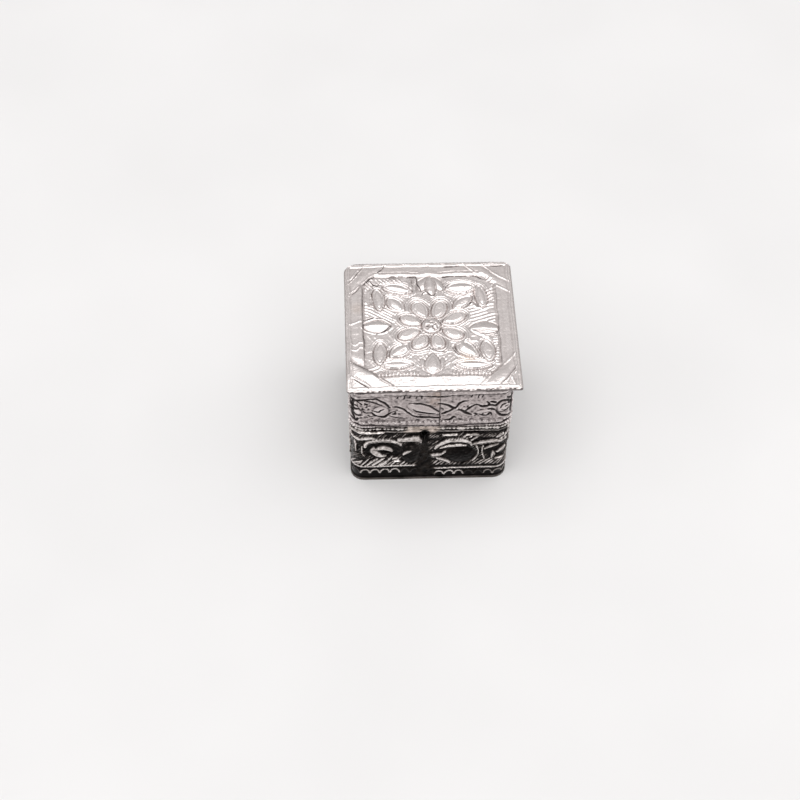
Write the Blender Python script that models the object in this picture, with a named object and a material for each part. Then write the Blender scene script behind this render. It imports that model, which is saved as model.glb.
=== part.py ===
"""A square silver kumkum box, an inch across: an embossed lift-off lid on an embossed body.

Metres, +Z up. The origin is the middle of the foot of the whole box's bounds. Each wall is one
strip of sheet, bent round the box and butted at a seam that solder fills. A plain collar is
soldered inside the body's rim, and the lid slides down over it.
"""

import math

import bmesh
import bpy
from mathutils import Matrix, Vector

# The body's wall, measured over the sheet's plain face.
BODY_WIDTH = 0.0235
BODY_DEPTH = 0.0235
BODY_CORNER_RADIUS = 0.0019
WALL_SHEET = 0.0004
WALL_HEIGHT = 0.0121

# The base plate under the wall.
BASE_SHEET = 0.0005
BASE_LEDGE = 0.00015

# The collar inside the rim, and how the lid fits it.
COLLAR_SHEET = 0.0004
COLLAR_TUCK = 0.0038
COLLAR_STAND = 0.004
LID_CLEARANCE = 0.00015
SEAT_GAP = 0.00015

# The lid's skirt.
SKIRT_SHEET = 0.0005
SKIRT_HEIGHT = 0.00885

# The lid's top plate: how far it overhangs the skirt, and its four hand-rounded corners.
PLATE_SHEET = 0.00045
PLATE_OVERHANG_LEFT = 0.00039
PLATE_OVERHANG_RIGHT = 0.00109
PLATE_OVERHANG_FRONT = 0.00074
PLATE_OVERHANG_BACK = 0.00074
PLATE_FRONT_LEFT_ROUND = 0.0005
PLATE_FRONT_RIGHT_ROUND = 0.0002
PLATE_BACK_RIGHT_ROUND = 0.0008
PLATE_BACK_LEFT_ROUND = 0.0011

# The raised line round the plate, and the ribbons that cross its corners.
RIM_MARGIN = 0.0004
RIM_WIDTH = 0.0005
RIM_RISE = 0.00014
RIBBON_NEAR = 0.003
RIBBON_FAR = 0.0055
RIBBON_RISE = 0.00008

# The sunk panel in the plate, with its flower, leaves and buds.
PANEL_MARGIN = 0.0028
PANEL_SINK = 0.00018
PANEL_LINE = 0.00015
BOSS_RADIUS = 0.00145
BOSS_RISE = 0.0006
PETAL_GAP = 0.0002
PETAL_LENGTH = 0.0035
PETAL_WIDTH = 0.002
PETAL_RISE = 0.00055
LEAF_RISE = 0.00045

# The raised lines round the skirt: the band under its top edge, and the bead over its lower edge.
SKIRT_LINE_RISE = 0.00016
SKIRT_BAND_DROP = 0.0011
SKIRT_BAND_HEIGHT = 0.0012
SKIRT_BEAD_LEVEL = 0.00095
SKIRT_BEAD_HEIGHT = 0.00085

# The raised lines round the body's wall: two under its rim, and two over its foot. The two over its
# foot climb on their way round, because the strip was bent a little askew.
WALL_LINE_RISE = 0.00015
WALL_BEAD_DROP = 0.00042
WALL_BEAD_HEIGHT = 0.0007
WALL_SECOND_DROP = 0.0012
WALL_SECOND_HEIGHT = 0.0006
WALL_FOOT_CLIMB = 0.0008
WALL_FOOT_LINE_LEVEL = 0.002
WALL_FOOT_LINE_HEIGHT = 0.0006
WALL_SCALLOP_LEVEL = 0.0008
WALL_SCALLOP_HEIGHT = 0.0011
WALL_SCALLOP_RISE = 0.0001

# The motifs of the friezes, which fill the space between those lines.
FRIEZE_MARGIN = 0.00015
SKIRT_MOTIF_RISE = 0.00022
WALL_OVAL_RISE = 0.00016
WALL_RIDGE_RISE = 0.0003
RIDGE_CREST_share = 0.4
RIDGE_LOW_share = 0.8
MOTIF_SINK = 0.0001

# Solder: the film in a joint, the fillets, the seams and the nipped hole in the body's seam.
SOLDER_FILM = 0.00004
FILLET_LEG = 0.0006
COLLAR_FILLET_LEG = 0.0004
SEAM_GAP = 0.00022
LID_SEAM_X = 0.00123
BODY_SEAM_X = -0.00085
COLLAR_SEAM_X = -0.0012
SEAM_HOLE_RADIUS = 0.00032
SEAM_HOLE_DROP = 0.0016
CUT_OVERRUN = 0.0005

# Counts, and the leans of a dome's rings from its foot to its crown, in degrees.
CORNER_STEPS = 5
ROUND_STEPS = 3
LINE_STEPS = 4
DOME_STEPS = 12
HOLE_STEPS = 16
DOME_LEANS = (0, 35, 65)
SHARP_ANGLE = 50
FILLET_HOLLOW_share = 0.35

# Where each petal of the flower points, in degrees from +X.
PETAL_TURNS = (21, 68, 119, 160, 204, 240, 283, 334)

# Leaves on the panel: the middle's place, the length and the width as shares of half the panel,
# the turn in degrees, and how pointed the ends are, from 0 to 1.
LEAF_shares = (
    (-0.486, 0.748, 0.447, 0.214, -15, 0.6),
    (-0.771, 0.534, 0.466, 0.185, -86, 0.6),
    (-0.511, 0.423, 0.379, 0.214, -52, 0.6),
    (0.486, 0.748, 0.470, 0.230, 3, 0.4),
    (0.787, 0.573, 0.466, 0.185, -82, 0.6),
    (0.495, 0.446, 0.369, 0.214, 40, 0.6),
    (-0.544, -0.787, 0.486, 0.175, 0, 0.6),
    (-0.777, -0.554, 0.447, 0.194, 88, 0.6),
    (-0.466, -0.475, 0.400, 0.240, 38, 0.6),
    (0.580, -0.806, 0.530, 0.190, -3, 0.6),
    (0.822, -0.524, 0.408, 0.200, -85, 0.6),
    (0.509, -0.476, 0.415, 0.235, -42, 0.6),
)

# Buds at the middle of the panel's edges, in the same terms as the leaves.
BUD_shares = (
    (-0.800, -0.010, 0.359, 0.250, 0, 0.4),
    (0.780, -0.110, 0.390, 0.285, 176, 0.5),
    (0.020, 0.795, 0.380, 0.285, -90, 0.3),
    (-0.010, -0.777, 0.390, 0.285, 90, 0.5),
)

# Motifs on each side of a frieze: the middle's place as a share of half the side and of half the
# frieze's height, length and width as shares of that height, the turn and the pointing of the ends.
SKIRT_MOTIF_shares = (
    (-0.720, 0.040, 0.850, 0.650, 0, 0.0),
    (-0.096, -0.220, 0.760, 0.420, -25, 0.7),
    (0.295, -0.155, 0.780, 0.136, 38, 0.5),
    (0.295, -0.155, 0.830, 0.136, -32, 0.5),
    (0.866, -0.090, 0.525, 0.525, 0, 0.0),
)
WALL_OVAL_shares = (
    (-0.238, -0.221, 0.671, 0.382, 90, 0.0),
    (0.391, -0.366, 0.632, 0.526, 0, 0.0),
)

# The ridges on each side of the body's frieze, as points: the place as a share of half the side,
# the level as a share of half the frieze's height, and the width as a share of that height.
WALL_RIDGE_shares = (
    # The left scroll's outer band, its C and the leaf in it.
    (
        (-0.757, -0.524, 0.053),
        (-0.817, -0.392, 0.062),
        (-0.868, 0.029, 0.053),
        (-0.826, 0.371, 0.087),
        (-0.732, 0.608, 0.128),
        (-0.553, 0.647, 0.145),
        (-0.426, 0.529, 0.095),
        (-0.366, 0.345, 0.062),
    ),
    (
        (-0.732, 0.239, 0.054),
        (-0.740, 0.003, 0.104),
        (-0.706, -0.155, 0.128),
        (-0.613, -0.326, 0.079),
        (-0.570, -0.339, 0.054),
    ),
    ((-0.672, 0.134, 0.095), (-0.604, 0.213, 0.145), (-0.545, 0.161, 0.128), (-0.494, 0.003, 0.062)),
    # The cap over the upright oval, and the leaf on it.
    ((-0.366, 0.582, 0.112), (-0.247, 0.647, 0.178), (-0.162, 0.634, 0.128), (-0.123, 0.476, 0.062)),
    ((-0.340, -0.261, 0.046), (-0.289, -0.103, 0.095), (-0.238, -0.024, 0.038)),
    # The brow over the flat oval, and the line under it.
    (
        (0.068, 0.082, 0.062),
        (0.102, 0.266, 0.095),
        (0.204, 0.529, 0.145),
        (0.340, 0.608, 0.178),
        (0.443, 0.542, 0.128),
        (0.528, 0.292, 0.062),
    ),
    ((0.128, 0.108, 0.046), (0.255, 0.253, 0.076), (0.383, 0.266, 0.079), (0.460, 0.253, 0.054)),
    # The two leaves left of it.
    ((-0.034, -0.392, 0.062), (0.051, -0.379, 0.153), (0.153, -0.287, 0.079), (0.196, -0.129, 0.071)),
    ((0.102, -0.524, 0.062), (0.162, -0.629, 0.112), (0.264, -0.839, 0.046)),
    # The right scroll: its ridge, its two upright lines and the pieces in it.
    (
        (0.562, 0.345, 0.062),
        (0.672, 0.424, 0.128),
        (0.809, 0.503, 0.128),
        (0.902, 0.476, 0.095),
        (0.962, 0.555, 0.070),
    ),
    ((0.600, 0.187, 0.046), (0.621, -0.103, 0.049), (0.613, -0.445, 0.043), (0.562, -0.734, 0.036)),
    ((0.681, 0.187, 0.046), (0.672, -0.050, 0.049), (0.681, -0.313, 0.049), (0.698, -0.576, 0.040)),
    ((0.698, 0.029, 0.046), (0.766, 0.147, 0.079), (0.860, 0.292, 0.062)),
    ((0.809, -0.182, 0.062), (0.817, -0.366, 0.104), (0.800, -0.550, 0.062)),
    ((0.860, -0.182, 0.062), (0.919, -0.076, 0.145), (0.953, 0.003, 0.095)),
    # The ridge over the left scroll.
    ((-0.953, 0.871, 0.070), (-0.851, 0.805, 0.104), (-0.681, 0.792, 0.062)),
)

# The collar fits inside the body's wall, the skirt fits over the collar, and the plate covers it.
COLLAR_WIDTH = BODY_WIDTH - 2 * (WALL_SHEET + SOLDER_FILM)
COLLAR_DEPTH = BODY_DEPTH - 2 * (WALL_SHEET + SOLDER_FILM)
COLLAR_CORNER_RADIUS = BODY_CORNER_RADIUS - WALL_SHEET - SOLDER_FILM
SKIRT_WIDTH = COLLAR_WIDTH + 2 * (LID_CLEARANCE + SKIRT_SHEET)
SKIRT_DEPTH = COLLAR_DEPTH + 2 * (LID_CLEARANCE + SKIRT_SHEET)
SKIRT_CORNER_RADIUS = COLLAR_CORNER_RADIUS + LID_CLEARANCE + SKIRT_SHEET
PLATE_WIDTH = SKIRT_WIDTH + PLATE_OVERHANG_LEFT + PLATE_OVERHANG_RIGHT
PLATE_DEPTH = SKIRT_DEPTH + PLATE_OVERHANG_FRONT + PLATE_OVERHANG_BACK
WALLS_X = (PLATE_OVERHANG_LEFT - PLATE_OVERHANG_RIGHT) / 2
WALLS_Y = (PLATE_OVERHANG_FRONT - PLATE_OVERHANG_BACK) / 2

# Heights, from the floor up.
WALL_BOTTOM = BASE_SHEET + SOLDER_FILM
WALL_TOP = WALL_BOTTOM + WALL_HEIGHT
SKIRT_BOTTOM = WALL_TOP + SEAT_GAP
SKIRT_TOP = SKIRT_BOTTOM + SKIRT_HEIGHT
PLATE_BOTTOM = SKIRT_TOP + SOLDER_FILM
PLATE_TOP = PLATE_BOTTOM + PLATE_SHEET
PANEL_FLOOR = PLATE_TOP - PANEL_SINK
COLLAR_BOTTOM = WALL_TOP - COLLAR_TUCK
COLLAR_TOP = WALL_TOP + COLLAR_STAND

# The panel's size. The ribbons run along its cut corners.
PANEL_WIDTH = PLATE_WIDTH - 2 * PANEL_MARGIN
PANEL_DEPTH = PLATE_DEPTH - 2 * PANEL_MARGIN
RIM_INSET = RIM_MARGIN + RIM_WIDTH
PANEL_CHAMFER = RIBBON_FAR + 2 * (PANEL_LINE + RIM_INSET - PANEL_MARGIN)

# The corners of a rectangle, anticlockwise from the front right.
CORNERS = ((1, -1), (1, 1), (-1, 1), (-1, -1))


class Loop:
    """A rounded rectangle seen from above. A place on it is how far along it lies from the middle
    of the front, first towards +X."""

    def __init__(self, width, depth, radius):
        self.radius = radius
        self.start = Vector((0, -depth / 2))
        self.runs = [width / 2 - radius, depth - 2 * radius, width - 2 * radius]
        self.runs += [depth - 2 * radius, width / 2 - radius]
        self.sides = (width, depth, width, depth)
        self.arc = radius * math.pi / 2
        self.length = sum(self.runs) + 4 * self.arc

    def pieces(self):
        """Each straight run or corner as (length, first point, direction, turns or not)."""
        here, ahead = self.start, Vector((1, 0))
        for number, run in enumerate(self.runs):
            yield run, here, ahead, False
            here = here + ahead * run
            if number < len(CORNERS):
                leftward = Vector((-ahead.y, ahead.x))
                yield self.arc, here, ahead, True
                here = here + (ahead + leftward) * self.radius
                ahead = leftward

    def at(self, along):
        """The point that far along, and the direction that points out of the loop there."""
        rest = along % self.length
        for length, start, ahead, turns in self.pieces():
            out = Vector((ahead.y, -ahead.x))
            if rest <= length and turns:
                angle = rest / self.radius
                facing = out * math.cos(angle) + ahead * math.sin(angle)
                return start + (facing - out) * self.radius, facing
            if rest <= length:
                return start + ahead * rest, out
            rest -= length
        return self.at(0)

    def stops(self):
        """How far along the ends of the straight runs lie, with the steps of each corner."""
        here = 0
        for length, _, _, turns in self.pieces():
            steps = CORNER_STEPS if turns else 1
            for _ in range(steps):
                here += length / steps
                yield here

    def middles(self):
        """How far along the middle of each of the four sides lies."""
        first, side, back = self.runs[:3]
        right = first + self.arc + side / 2
        behind = right + side / 2 + self.arc + back / 2
        return (0, right, behind, behind + back / 2 + self.arc + side / 2)


def new_object(name, builder, material=None):
    """An object from a bmesh, with its faces pointing out. Without a material it is a helper."""
    bmesh.ops.recalc_face_normals(builder, faces=builder.faces)
    mesh = bpy.data.meshes.new(name)
    builder.to_mesh(mesh)
    builder.free()
    made = bpy.data.objects.new(name, mesh)
    bpy.context.scene.collection.objects.link(made)
    if material:
        mesh.materials.append(material)
    else:
        made.hide_render = True
        made.display_type = "WIRE"
    return made


def silver(name, colour, roughness):
    """A bare metal of the silver's colour or the solder's."""
    made = bpy.data.materials.new(name)
    made.use_nodes = True
    shader = made.node_tree.nodes["Principled BSDF"]
    shader.inputs["Base Color"].default_value = (*colour, 1)
    shader.inputs["Metallic"].default_value = 1
    shader.inputs["Roughness"].default_value = roughness
    return made


def combine(target, helper, operation):
    """Adds the helper to the target, or cuts it away, with a Boolean."""
    modifier = target.modifiers.new(helper.name, "BOOLEAN")
    modifier.object = helper
    modifier.operation = operation
    modifier.solver = "EXACT"
    modifier.use_self = operation == "UNION"


def smooth(made):
    """Shades a bent wall smooth, with the sheet's own edges kept sharp."""
    made.data.shade_smooth()
    made.data.set_sharp_from_angle(angle=math.radians(SHARP_ANGLE))


def add_skin(builder, rings, closed):
    """Joins rings of points with faces. An open run gets a face at each end."""
    made = [[builder.verts.new(point) for point in ring] for ring in rings]
    count = len(made[0])
    for ring, following in zip(made, made[1:] + made[:1] if closed else made[1:]):
        for index in range(count):
            after = (index + 1) % count
            builder.faces.new((ring[index], ring[after], following[after], following[index]))
    if not closed:
        builder.faces.new(made[0])
        builder.faces.new(made[-1])


def add_prism(builder, outline, bottom, top):
    """A flat outline made solid between two heights."""
    face = builder.faces.new([builder.verts.new((x, y, bottom)) for x, y in outline])
    raised = bmesh.ops.extrude_face_region(builder, geom=[face], use_keep_orig=True)
    verts = [item for item in raised["geom"] if isinstance(item, bmesh.types.BMVert)]
    bmesh.ops.translate(builder, vec=(0, 0, top - bottom), verts=verts)


def block(width, depth, bottom, top, rounds, steps):
    """A flat block whose upright edges are rounded, in the order of CORNERS. One step cuts them."""
    builder = bmesh.new()
    bmesh.ops.create_cube(builder, size=1)
    bmesh.ops.scale(builder, vec=(width, depth, top - bottom), verts=builder.verts)
    bmesh.ops.translate(builder, vec=(0, 0, (bottom + top) / 2), verts=builder.verts)
    for (side_x, side_y), offset in zip(CORNERS, rounds):
        upright = max(
            builder.edges, key=lambda edge: sum(v.co.x * side_x + v.co.y * side_y for v in edge.verts)
        )
        bmesh.ops.bevel(
            builder, geom=[upright], offset=offset, segments=steps, profile=0.5, affect="EDGES"
        )
    return builder


def line_section(middle, height, rise):
    """The outer points of a raised round line, from its top to its bottom, as (out, height)."""
    points = []
    for step in range(LINE_STEPS + 1):
        angle = math.pi * step / LINE_STEPS
        points.append((rise * math.sin(angle), middle + height / 2 * math.cos(angle)))
    return points


def strip_section(sheet, bottom, top, lines):
    """The section of an embossed strip, up the inner face and down the outer one."""
    section = [(-sheet, bottom), (-sheet, top), (0, top)]
    for line in lines:
        section += line
    return section + [(0, bottom)]


def bent_strip(name, loop, section, material, seam=None):
    """Bends a strip round a loop. With a seam, its two ends stay a seam's gap apart. The section is
    worked out from the share of the strip that lies behind."""
    if seam is None:
        places = list(loop.stops())[:-1]
    else:
        first = seam + SEAM_GAP / 2
        last = loop.length + seam - SEAM_GAP / 2
        turns = [stop + loop.length * lap for lap in (-1, 0, 1) for stop in loop.stops()]
        places = [first] + [stop for stop in turns if first < stop < last] + [last]
    rings = []
    for place in places:
        point, out = loop.at(place)
        share = (place - places[0]) / (places[-1] - places[0])
        rings.append([(*(point + out * offset), height) for offset, height in section(share)])
    builder = bmesh.new()
    add_skin(builder, rings, closed=seam is None)
    return new_object(name, builder, material)


def dome(length, width, rise, turn=0, pointing=0):
    """The rings of a dome from its sunk foot up, and its crown. Its plan is an oval on XY, turned
    and with its ends drawn to points."""
    spin = Matrix.Rotation(math.radians(turn), 4, "Z")
    rings = []
    for lean in DOME_LEANS:
        shrink = math.cos(math.radians(lean))
        height = rise * math.sin(math.radians(lean)) if lean else -MOTIF_SINK
        ring = []
        for step in range(DOME_STEPS):
            angle = math.tau * step / DOME_STEPS
            side = math.sin(angle) * (1 - pointing + pointing * abs(math.sin(angle)))
            flat = Vector((length / 2 * shrink * math.cos(angle), width / 2 * shrink * side, height))
            ring.append(spin @ flat)
        rings.append(ring)
    return rings, Vector((0, 0, rise))


def add_dome(builder, shape, place):
    """Adds a closed dome. The function place puts each of its points on the face that carries it."""
    rings, crown = shape
    made = [[builder.verts.new(place(point)) for point in ring] for ring in rings]
    top = builder.verts.new(place(crown))
    for ring, following in zip(made, made[1:]):
        for index in range(DOME_STEPS):
            after = (index + 1) % DOME_STEPS
            builder.faces.new((ring[index], ring[after], following[after], following[index]))
    for index in range(DOME_STEPS):
        builder.faces.new((made[-1][index], made[-1][(index + 1) % DOME_STEPS], top))
    builder.faces.new(made[0])


def add_ridge(builder, line, rise, place):
    """Adds a closed ridge along a line of points with widths. It is highest where it is widest."""
    widest = max(width for _, _, width in line)
    rings = []
    for number, (x, y, width) in enumerate(line):
        before, after = line[max(number - 1, 0)], line[min(number + 1, len(line) - 1)]
        ahead = Vector((after[0] - before[0], after[1] - before[1])).normalized()
        crest = rise * (RIDGE_LOW_share + (1 - RIDGE_LOW_share) * width / widest)
        ring = []
        for share in (-1, -RIDGE_CREST_share, RIDGE_CREST_share, 1):
            across = share * width / 2
            height = -MOTIF_SINK if abs(share) == 1 else crest
            ring.append(place(Vector((x - ahead.y * across, y + ahead.x * across, height))))
        rings.append(ring)
    add_skin(builder, rings, closed=False)


def on_wall(loop, start, level):
    """A function that puts a flat point on a loop's wall, with its Z pointing out."""

    def place(point):
        at, out = loop.at(start + point.x)
        return Vector((*(at + out * point.z), level + point.y))

    return place


def frieze(name, loop, bottom, top, rise, shares, ridge_rise=0, ridges=()):
    """A frieze's domes and ridges, the same on each of the four sides, and bent round the corners
    with it."""
    builder = bmesh.new()
    height = top - bottom
    centre = (bottom + top) / 2
    for middle, side in zip(loop.middles(), loop.sides):
        for along, up, length, width, turn, pointing in shares:
            place = on_wall(loop, middle + along * side / 2, centre + up * height / 2)
            add_dome(builder, dome(length * height, width * height, rise, turn, pointing), place)
        for ridge in ridges:
            line = [(x * side / 2, y * height / 2, width * height) for x, y, width in ridge]
            add_ridge(builder, line, ridge_rise, on_wall(loop, middle, centre))
    return new_object(name, builder)


def plate_rim():
    """The raised line round the plate, with square corners."""
    builder = bmesh.new()
    section = [(across, up) for up, across in line_section(0, RIM_WIDTH, RIM_RISE)]
    section.append((0, -MOTIF_SINK))
    inset = RIM_MARGIN + RIM_WIDTH / 2
    rings = []
    for side_x, side_y in CORNERS:
        ring = []
        for across, up in section:
            x = side_x * (PLATE_WIDTH / 2 - inset + across)
            y = side_y * (PLATE_DEPTH / 2 - inset + across)
            ring.append(Vector((x, y, PLATE_TOP + up)))
        rings.append(ring)
    add_skin(builder, rings, closed=True)
    return new_object("plate_rim_shape", builder)


def plate_ribbons():
    """The ribbons across the four corners, from one side of the rim to the other."""
    builder = bmesh.new()
    inset = RIM_MARGIN + RIM_WIDTH / 2
    near = RIBBON_NEAR + RIM_WIDTH / 2
    far = RIBBON_FAR + RIM_WIDTH / 2
    for side_x, side_y in CORNERS:
        outline = []
        for x, y in ((near, 0), (far, 0), (0, far), (0, near)):
            outline.append(
                (side_x * (PLATE_WIDTH / 2 - inset - x), side_y * (PLATE_DEPTH / 2 - inset - y))
            )
        add_prism(builder, outline, PLATE_TOP - MOTIF_SINK, PLATE_TOP + RIBBON_RISE)
    return new_object("plate_ribbon_shapes", builder)


def panel_cutter():
    """The space of the sunk panel, a rectangle with cut corners."""
    builder = block(
        PANEL_WIDTH, PANEL_DEPTH, PANEL_FLOOR, PLATE_TOP + CUT_OVERRUN, [PANEL_CHAMFER] * 4, steps=1
    )
    return new_object("panel_cutter", builder)


def panel_motifs():
    """The flower, leaves and buds that stand up from the panel's floor."""
    builder = bmesh.new()

    def set_at(x, y):
        return lambda point: Vector((x, y, PANEL_FLOOR)) + point

    add_dome(builder, dome(2 * BOSS_RADIUS, 2 * BOSS_RADIUS, BOSS_RISE), set_at(0, 0))
    reach = BOSS_RADIUS + PETAL_GAP + PETAL_LENGTH / 2
    for turn in PETAL_TURNS:
        angle = math.radians(turn)
        place = set_at(reach * math.cos(angle), reach * math.sin(angle))
        add_dome(builder, dome(PETAL_LENGTH, PETAL_WIDTH, PETAL_RISE, turn), place)
    half = Vector((PANEL_WIDTH / 2, PANEL_DEPTH / 2))
    for x, y, length, width, turn, pointing in LEAF_shares + BUD_shares:
        shape = dome(length * half.x, width * half.x, LEAF_RISE, turn, pointing)
        add_dome(builder, shape, set_at(x * half.x, y * half.y))
    return new_object("panel_motif_shapes", builder)


def build_lid_top_plate():
    """The embossed sheet on top of the lid."""
    rounds = (
        PLATE_FRONT_RIGHT_ROUND,
        PLATE_BACK_RIGHT_ROUND,
        PLATE_BACK_LEFT_ROUND,
        PLATE_FRONT_LEFT_ROUND,
    )
    blank = block(PLATE_WIDTH, PLATE_DEPTH, PLATE_BOTTOM, PLATE_TOP, rounds, ROUND_STEPS)
    material = silver("lid_plate_silver", (0.80, 0.77, 0.76), 0.24)
    plate = new_object("lid_top_plate", blank, material)
    combine(plate, panel_cutter(), "DIFFERENCE")
    combine(plate, plate_rim(), "UNION")
    combine(plate, plate_ribbons(), "UNION")
    combine(plate, panel_motifs(), "UNION")
    return plate


def build_lid_skirt():
    """The lid's embossed wall, bent from one strip and butted at the front."""
    loop = Loop(SKIRT_WIDTH, SKIRT_DEPTH, SKIRT_CORNER_RADIUS)
    band = SKIRT_TOP - SKIRT_BAND_DROP
    bead = SKIRT_BOTTOM + SKIRT_BEAD_LEVEL
    lines = [
        line_section(band, SKIRT_BAND_HEIGHT, SKIRT_LINE_RISE),
        line_section(bead, SKIRT_BEAD_HEIGHT, SKIRT_LINE_RISE),
    ]
    section = strip_section(SKIRT_SHEET, SKIRT_BOTTOM, SKIRT_TOP, lines)
    material = silver("lid_skirt_silver", (0.72, 0.68, 0.67), 0.3)
    skirt = bent_strip("lid_skirt", loop, lambda share: section, material, seam=LID_SEAM_X)
    low = bead + SKIRT_BEAD_HEIGHT / 2 + FRIEZE_MARGIN
    high = band - SKIRT_BAND_HEIGHT / 2 - FRIEZE_MARGIN
    motifs = frieze("skirt_motif_shapes", loop, low, high, SKIRT_MOTIF_RISE, SKIRT_MOTIF_shares)
    combine(skirt, motifs, "UNION")
    smooth(skirt)
    return skirt


def seam_hole_cutter():
    """The small hole where the two ends of the body's strip were nipped before soldering."""
    builder = bmesh.new()
    bmesh.ops.create_cone(
        builder,
        cap_ends=True,
        segments=HOLE_STEPS,
        radius1=SEAM_HOLE_RADIUS,
        radius2=SEAM_HOLE_RADIUS,
        depth=2 * (WALL_SHEET + WALL_LINE_RISE + CUT_OVERRUN),
    )
    turn = Matrix.Rotation(math.pi / 2, 4, "X")
    place = Matrix.Translation((BODY_SEAM_X, -BODY_DEPTH / 2, WALL_TOP - SEAM_HOLE_DROP))
    bmesh.ops.transform(builder, matrix=place @ turn, verts=builder.verts)
    return new_object("seam_hole_cutter", builder)


def build_body_wall():
    """The body's embossed wall, bent from one strip, with the hole in its seam."""
    loop = Loop(BODY_WIDTH, BODY_DEPTH, BODY_CORNER_RADIUS)
    second = WALL_TOP - WALL_SECOND_DROP
    foot_line = WALL_BOTTOM + WALL_FOOT_LINE_LEVEL
    scallops = WALL_BOTTOM + WALL_SCALLOP_LEVEL

    def section(share):
        climb = WALL_FOOT_CLIMB * share
        lines = [
            line_section(WALL_TOP - WALL_BEAD_DROP, WALL_BEAD_HEIGHT, WALL_LINE_RISE),
            line_section(second, WALL_SECOND_HEIGHT, WALL_LINE_RISE),
            line_section(foot_line + climb, WALL_FOOT_LINE_HEIGHT, WALL_LINE_RISE),
            line_section(scallops + climb, WALL_SCALLOP_HEIGHT, WALL_SCALLOP_RISE),
        ]
        return strip_section(WALL_SHEET, WALL_BOTTOM, WALL_TOP, lines)

    material = silver("body_wall_silver", (0.60, 0.57, 0.56), 0.32)
    wall = bent_strip("body_wall", loop, section, material, seam=BODY_SEAM_X)
    low = foot_line + (WALL_FOOT_CLIMB + WALL_FOOT_LINE_HEIGHT) / 2 + FRIEZE_MARGIN
    high = second - WALL_SECOND_HEIGHT / 2 - FRIEZE_MARGIN
    motifs = frieze(
        "wall_motif_shapes",
        loop,
        low,
        high,
        WALL_OVAL_RISE,
        WALL_OVAL_shares,
        WALL_RIDGE_RISE,
        WALL_RIDGE_shares,
    )
    combine(wall, motifs, "UNION")
    combine(wall, seam_hole_cutter(), "DIFFERENCE")
    smooth(wall)
    return wall


def build_base_plate():
    """The flat sheet under the body, a little proud of the wall."""
    width = BODY_WIDTH + 2 * BASE_LEDGE
    depth = BODY_DEPTH + 2 * BASE_LEDGE
    rounds = [BODY_CORNER_RADIUS + BASE_LEDGE] * 4
    builder = block(width, depth, 0, BASE_SHEET, rounds, CORNER_STEPS)
    return new_object("base_plate", builder, silver("base_plate_silver", (0.72, 0.70, 0.69), 0.3))


def build_inner_collar():
    """The plain band inside the rim, with a rounded upper edge and its seam at the back."""
    loop = Loop(COLLAR_WIDTH, COLLAR_DEPTH, COLLAR_CORNER_RADIUS)
    section = [
        (-COLLAR_SHEET, COLLAR_BOTTOM),
        (-COLLAR_SHEET, COLLAR_TOP - COLLAR_SHEET / 2),
        (-COLLAR_SHEET / 2, COLLAR_TOP),
        (0, COLLAR_TOP - COLLAR_SHEET / 2),
        (0, COLLAR_BOTTOM),
    ]
    seam = loop.length / 2 - COLLAR_SEAM_X
    material = silver("collar_silver", (0.80, 0.78, 0.77), 0.2)
    collar = bent_strip("inner_collar", loop, lambda share: section, material, seam)
    smooth(collar)
    return collar


def seam_solder(name, seam_x, face_y, sheet, bottom, top):
    """Solder in a seam: an upright rib, a film's gap clear of the strip's two ends."""
    half = SEAM_GAP / 2 - SOLDER_FILM
    inward = -math.copysign(1, face_y)
    near = face_y + inward * SOLDER_FILM
    far = face_y + inward * (sheet - SOLDER_FILM)
    outline = [(seam_x - half, near), (seam_x + half, near), (seam_x + half, far), (seam_x - half, far)]
    builder = bmesh.new()
    add_prism(builder, outline, bottom + SOLDER_FILM, top - SOLDER_FILM)
    return new_object(name, builder, silver(name + "_alloy", (0.66, 0.60, 0.52), 0.42))


def fillet(name, width, depth, radius, level, upward, leg):
    """A run of solder in the corner between a wall's inner face and a level face. It climbs the
    wall where upward is 1, and hangs from the level face where it is -1."""
    foot = level + upward * SOLDER_FILM
    hollow = leg * FILLET_HOLLOW_share
    section = [
        (-SOLDER_FILM, foot),
        (-SOLDER_FILM, foot + upward * leg),
        (-SOLDER_FILM - hollow, foot + upward * hollow),
        (-SOLDER_FILM - leg, foot),
    ]
    material = silver(name + "_alloy", (0.66, 0.62, 0.56), 0.4)
    return bent_strip(name, Loop(width, depth, radius), lambda share: section, material)


def build_lid_solder():
    """The rib in the skirt's seam, and the run that joins the skirt to the plate."""
    rib = seam_solder(
        "lid_seam_solder", LID_SEAM_X, -SKIRT_DEPTH / 2, SKIRT_SHEET, SKIRT_BOTTOM, SKIRT_TOP
    )
    width = SKIRT_WIDTH - 2 * SKIRT_SHEET
    depth = SKIRT_DEPTH - 2 * SKIRT_SHEET
    radius = SKIRT_CORNER_RADIUS - SKIRT_SHEET
    return [rib, fillet("lid_plate_solder", width, depth, radius, PLATE_BOTTOM, -1, FILLET_LEG)]


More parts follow.
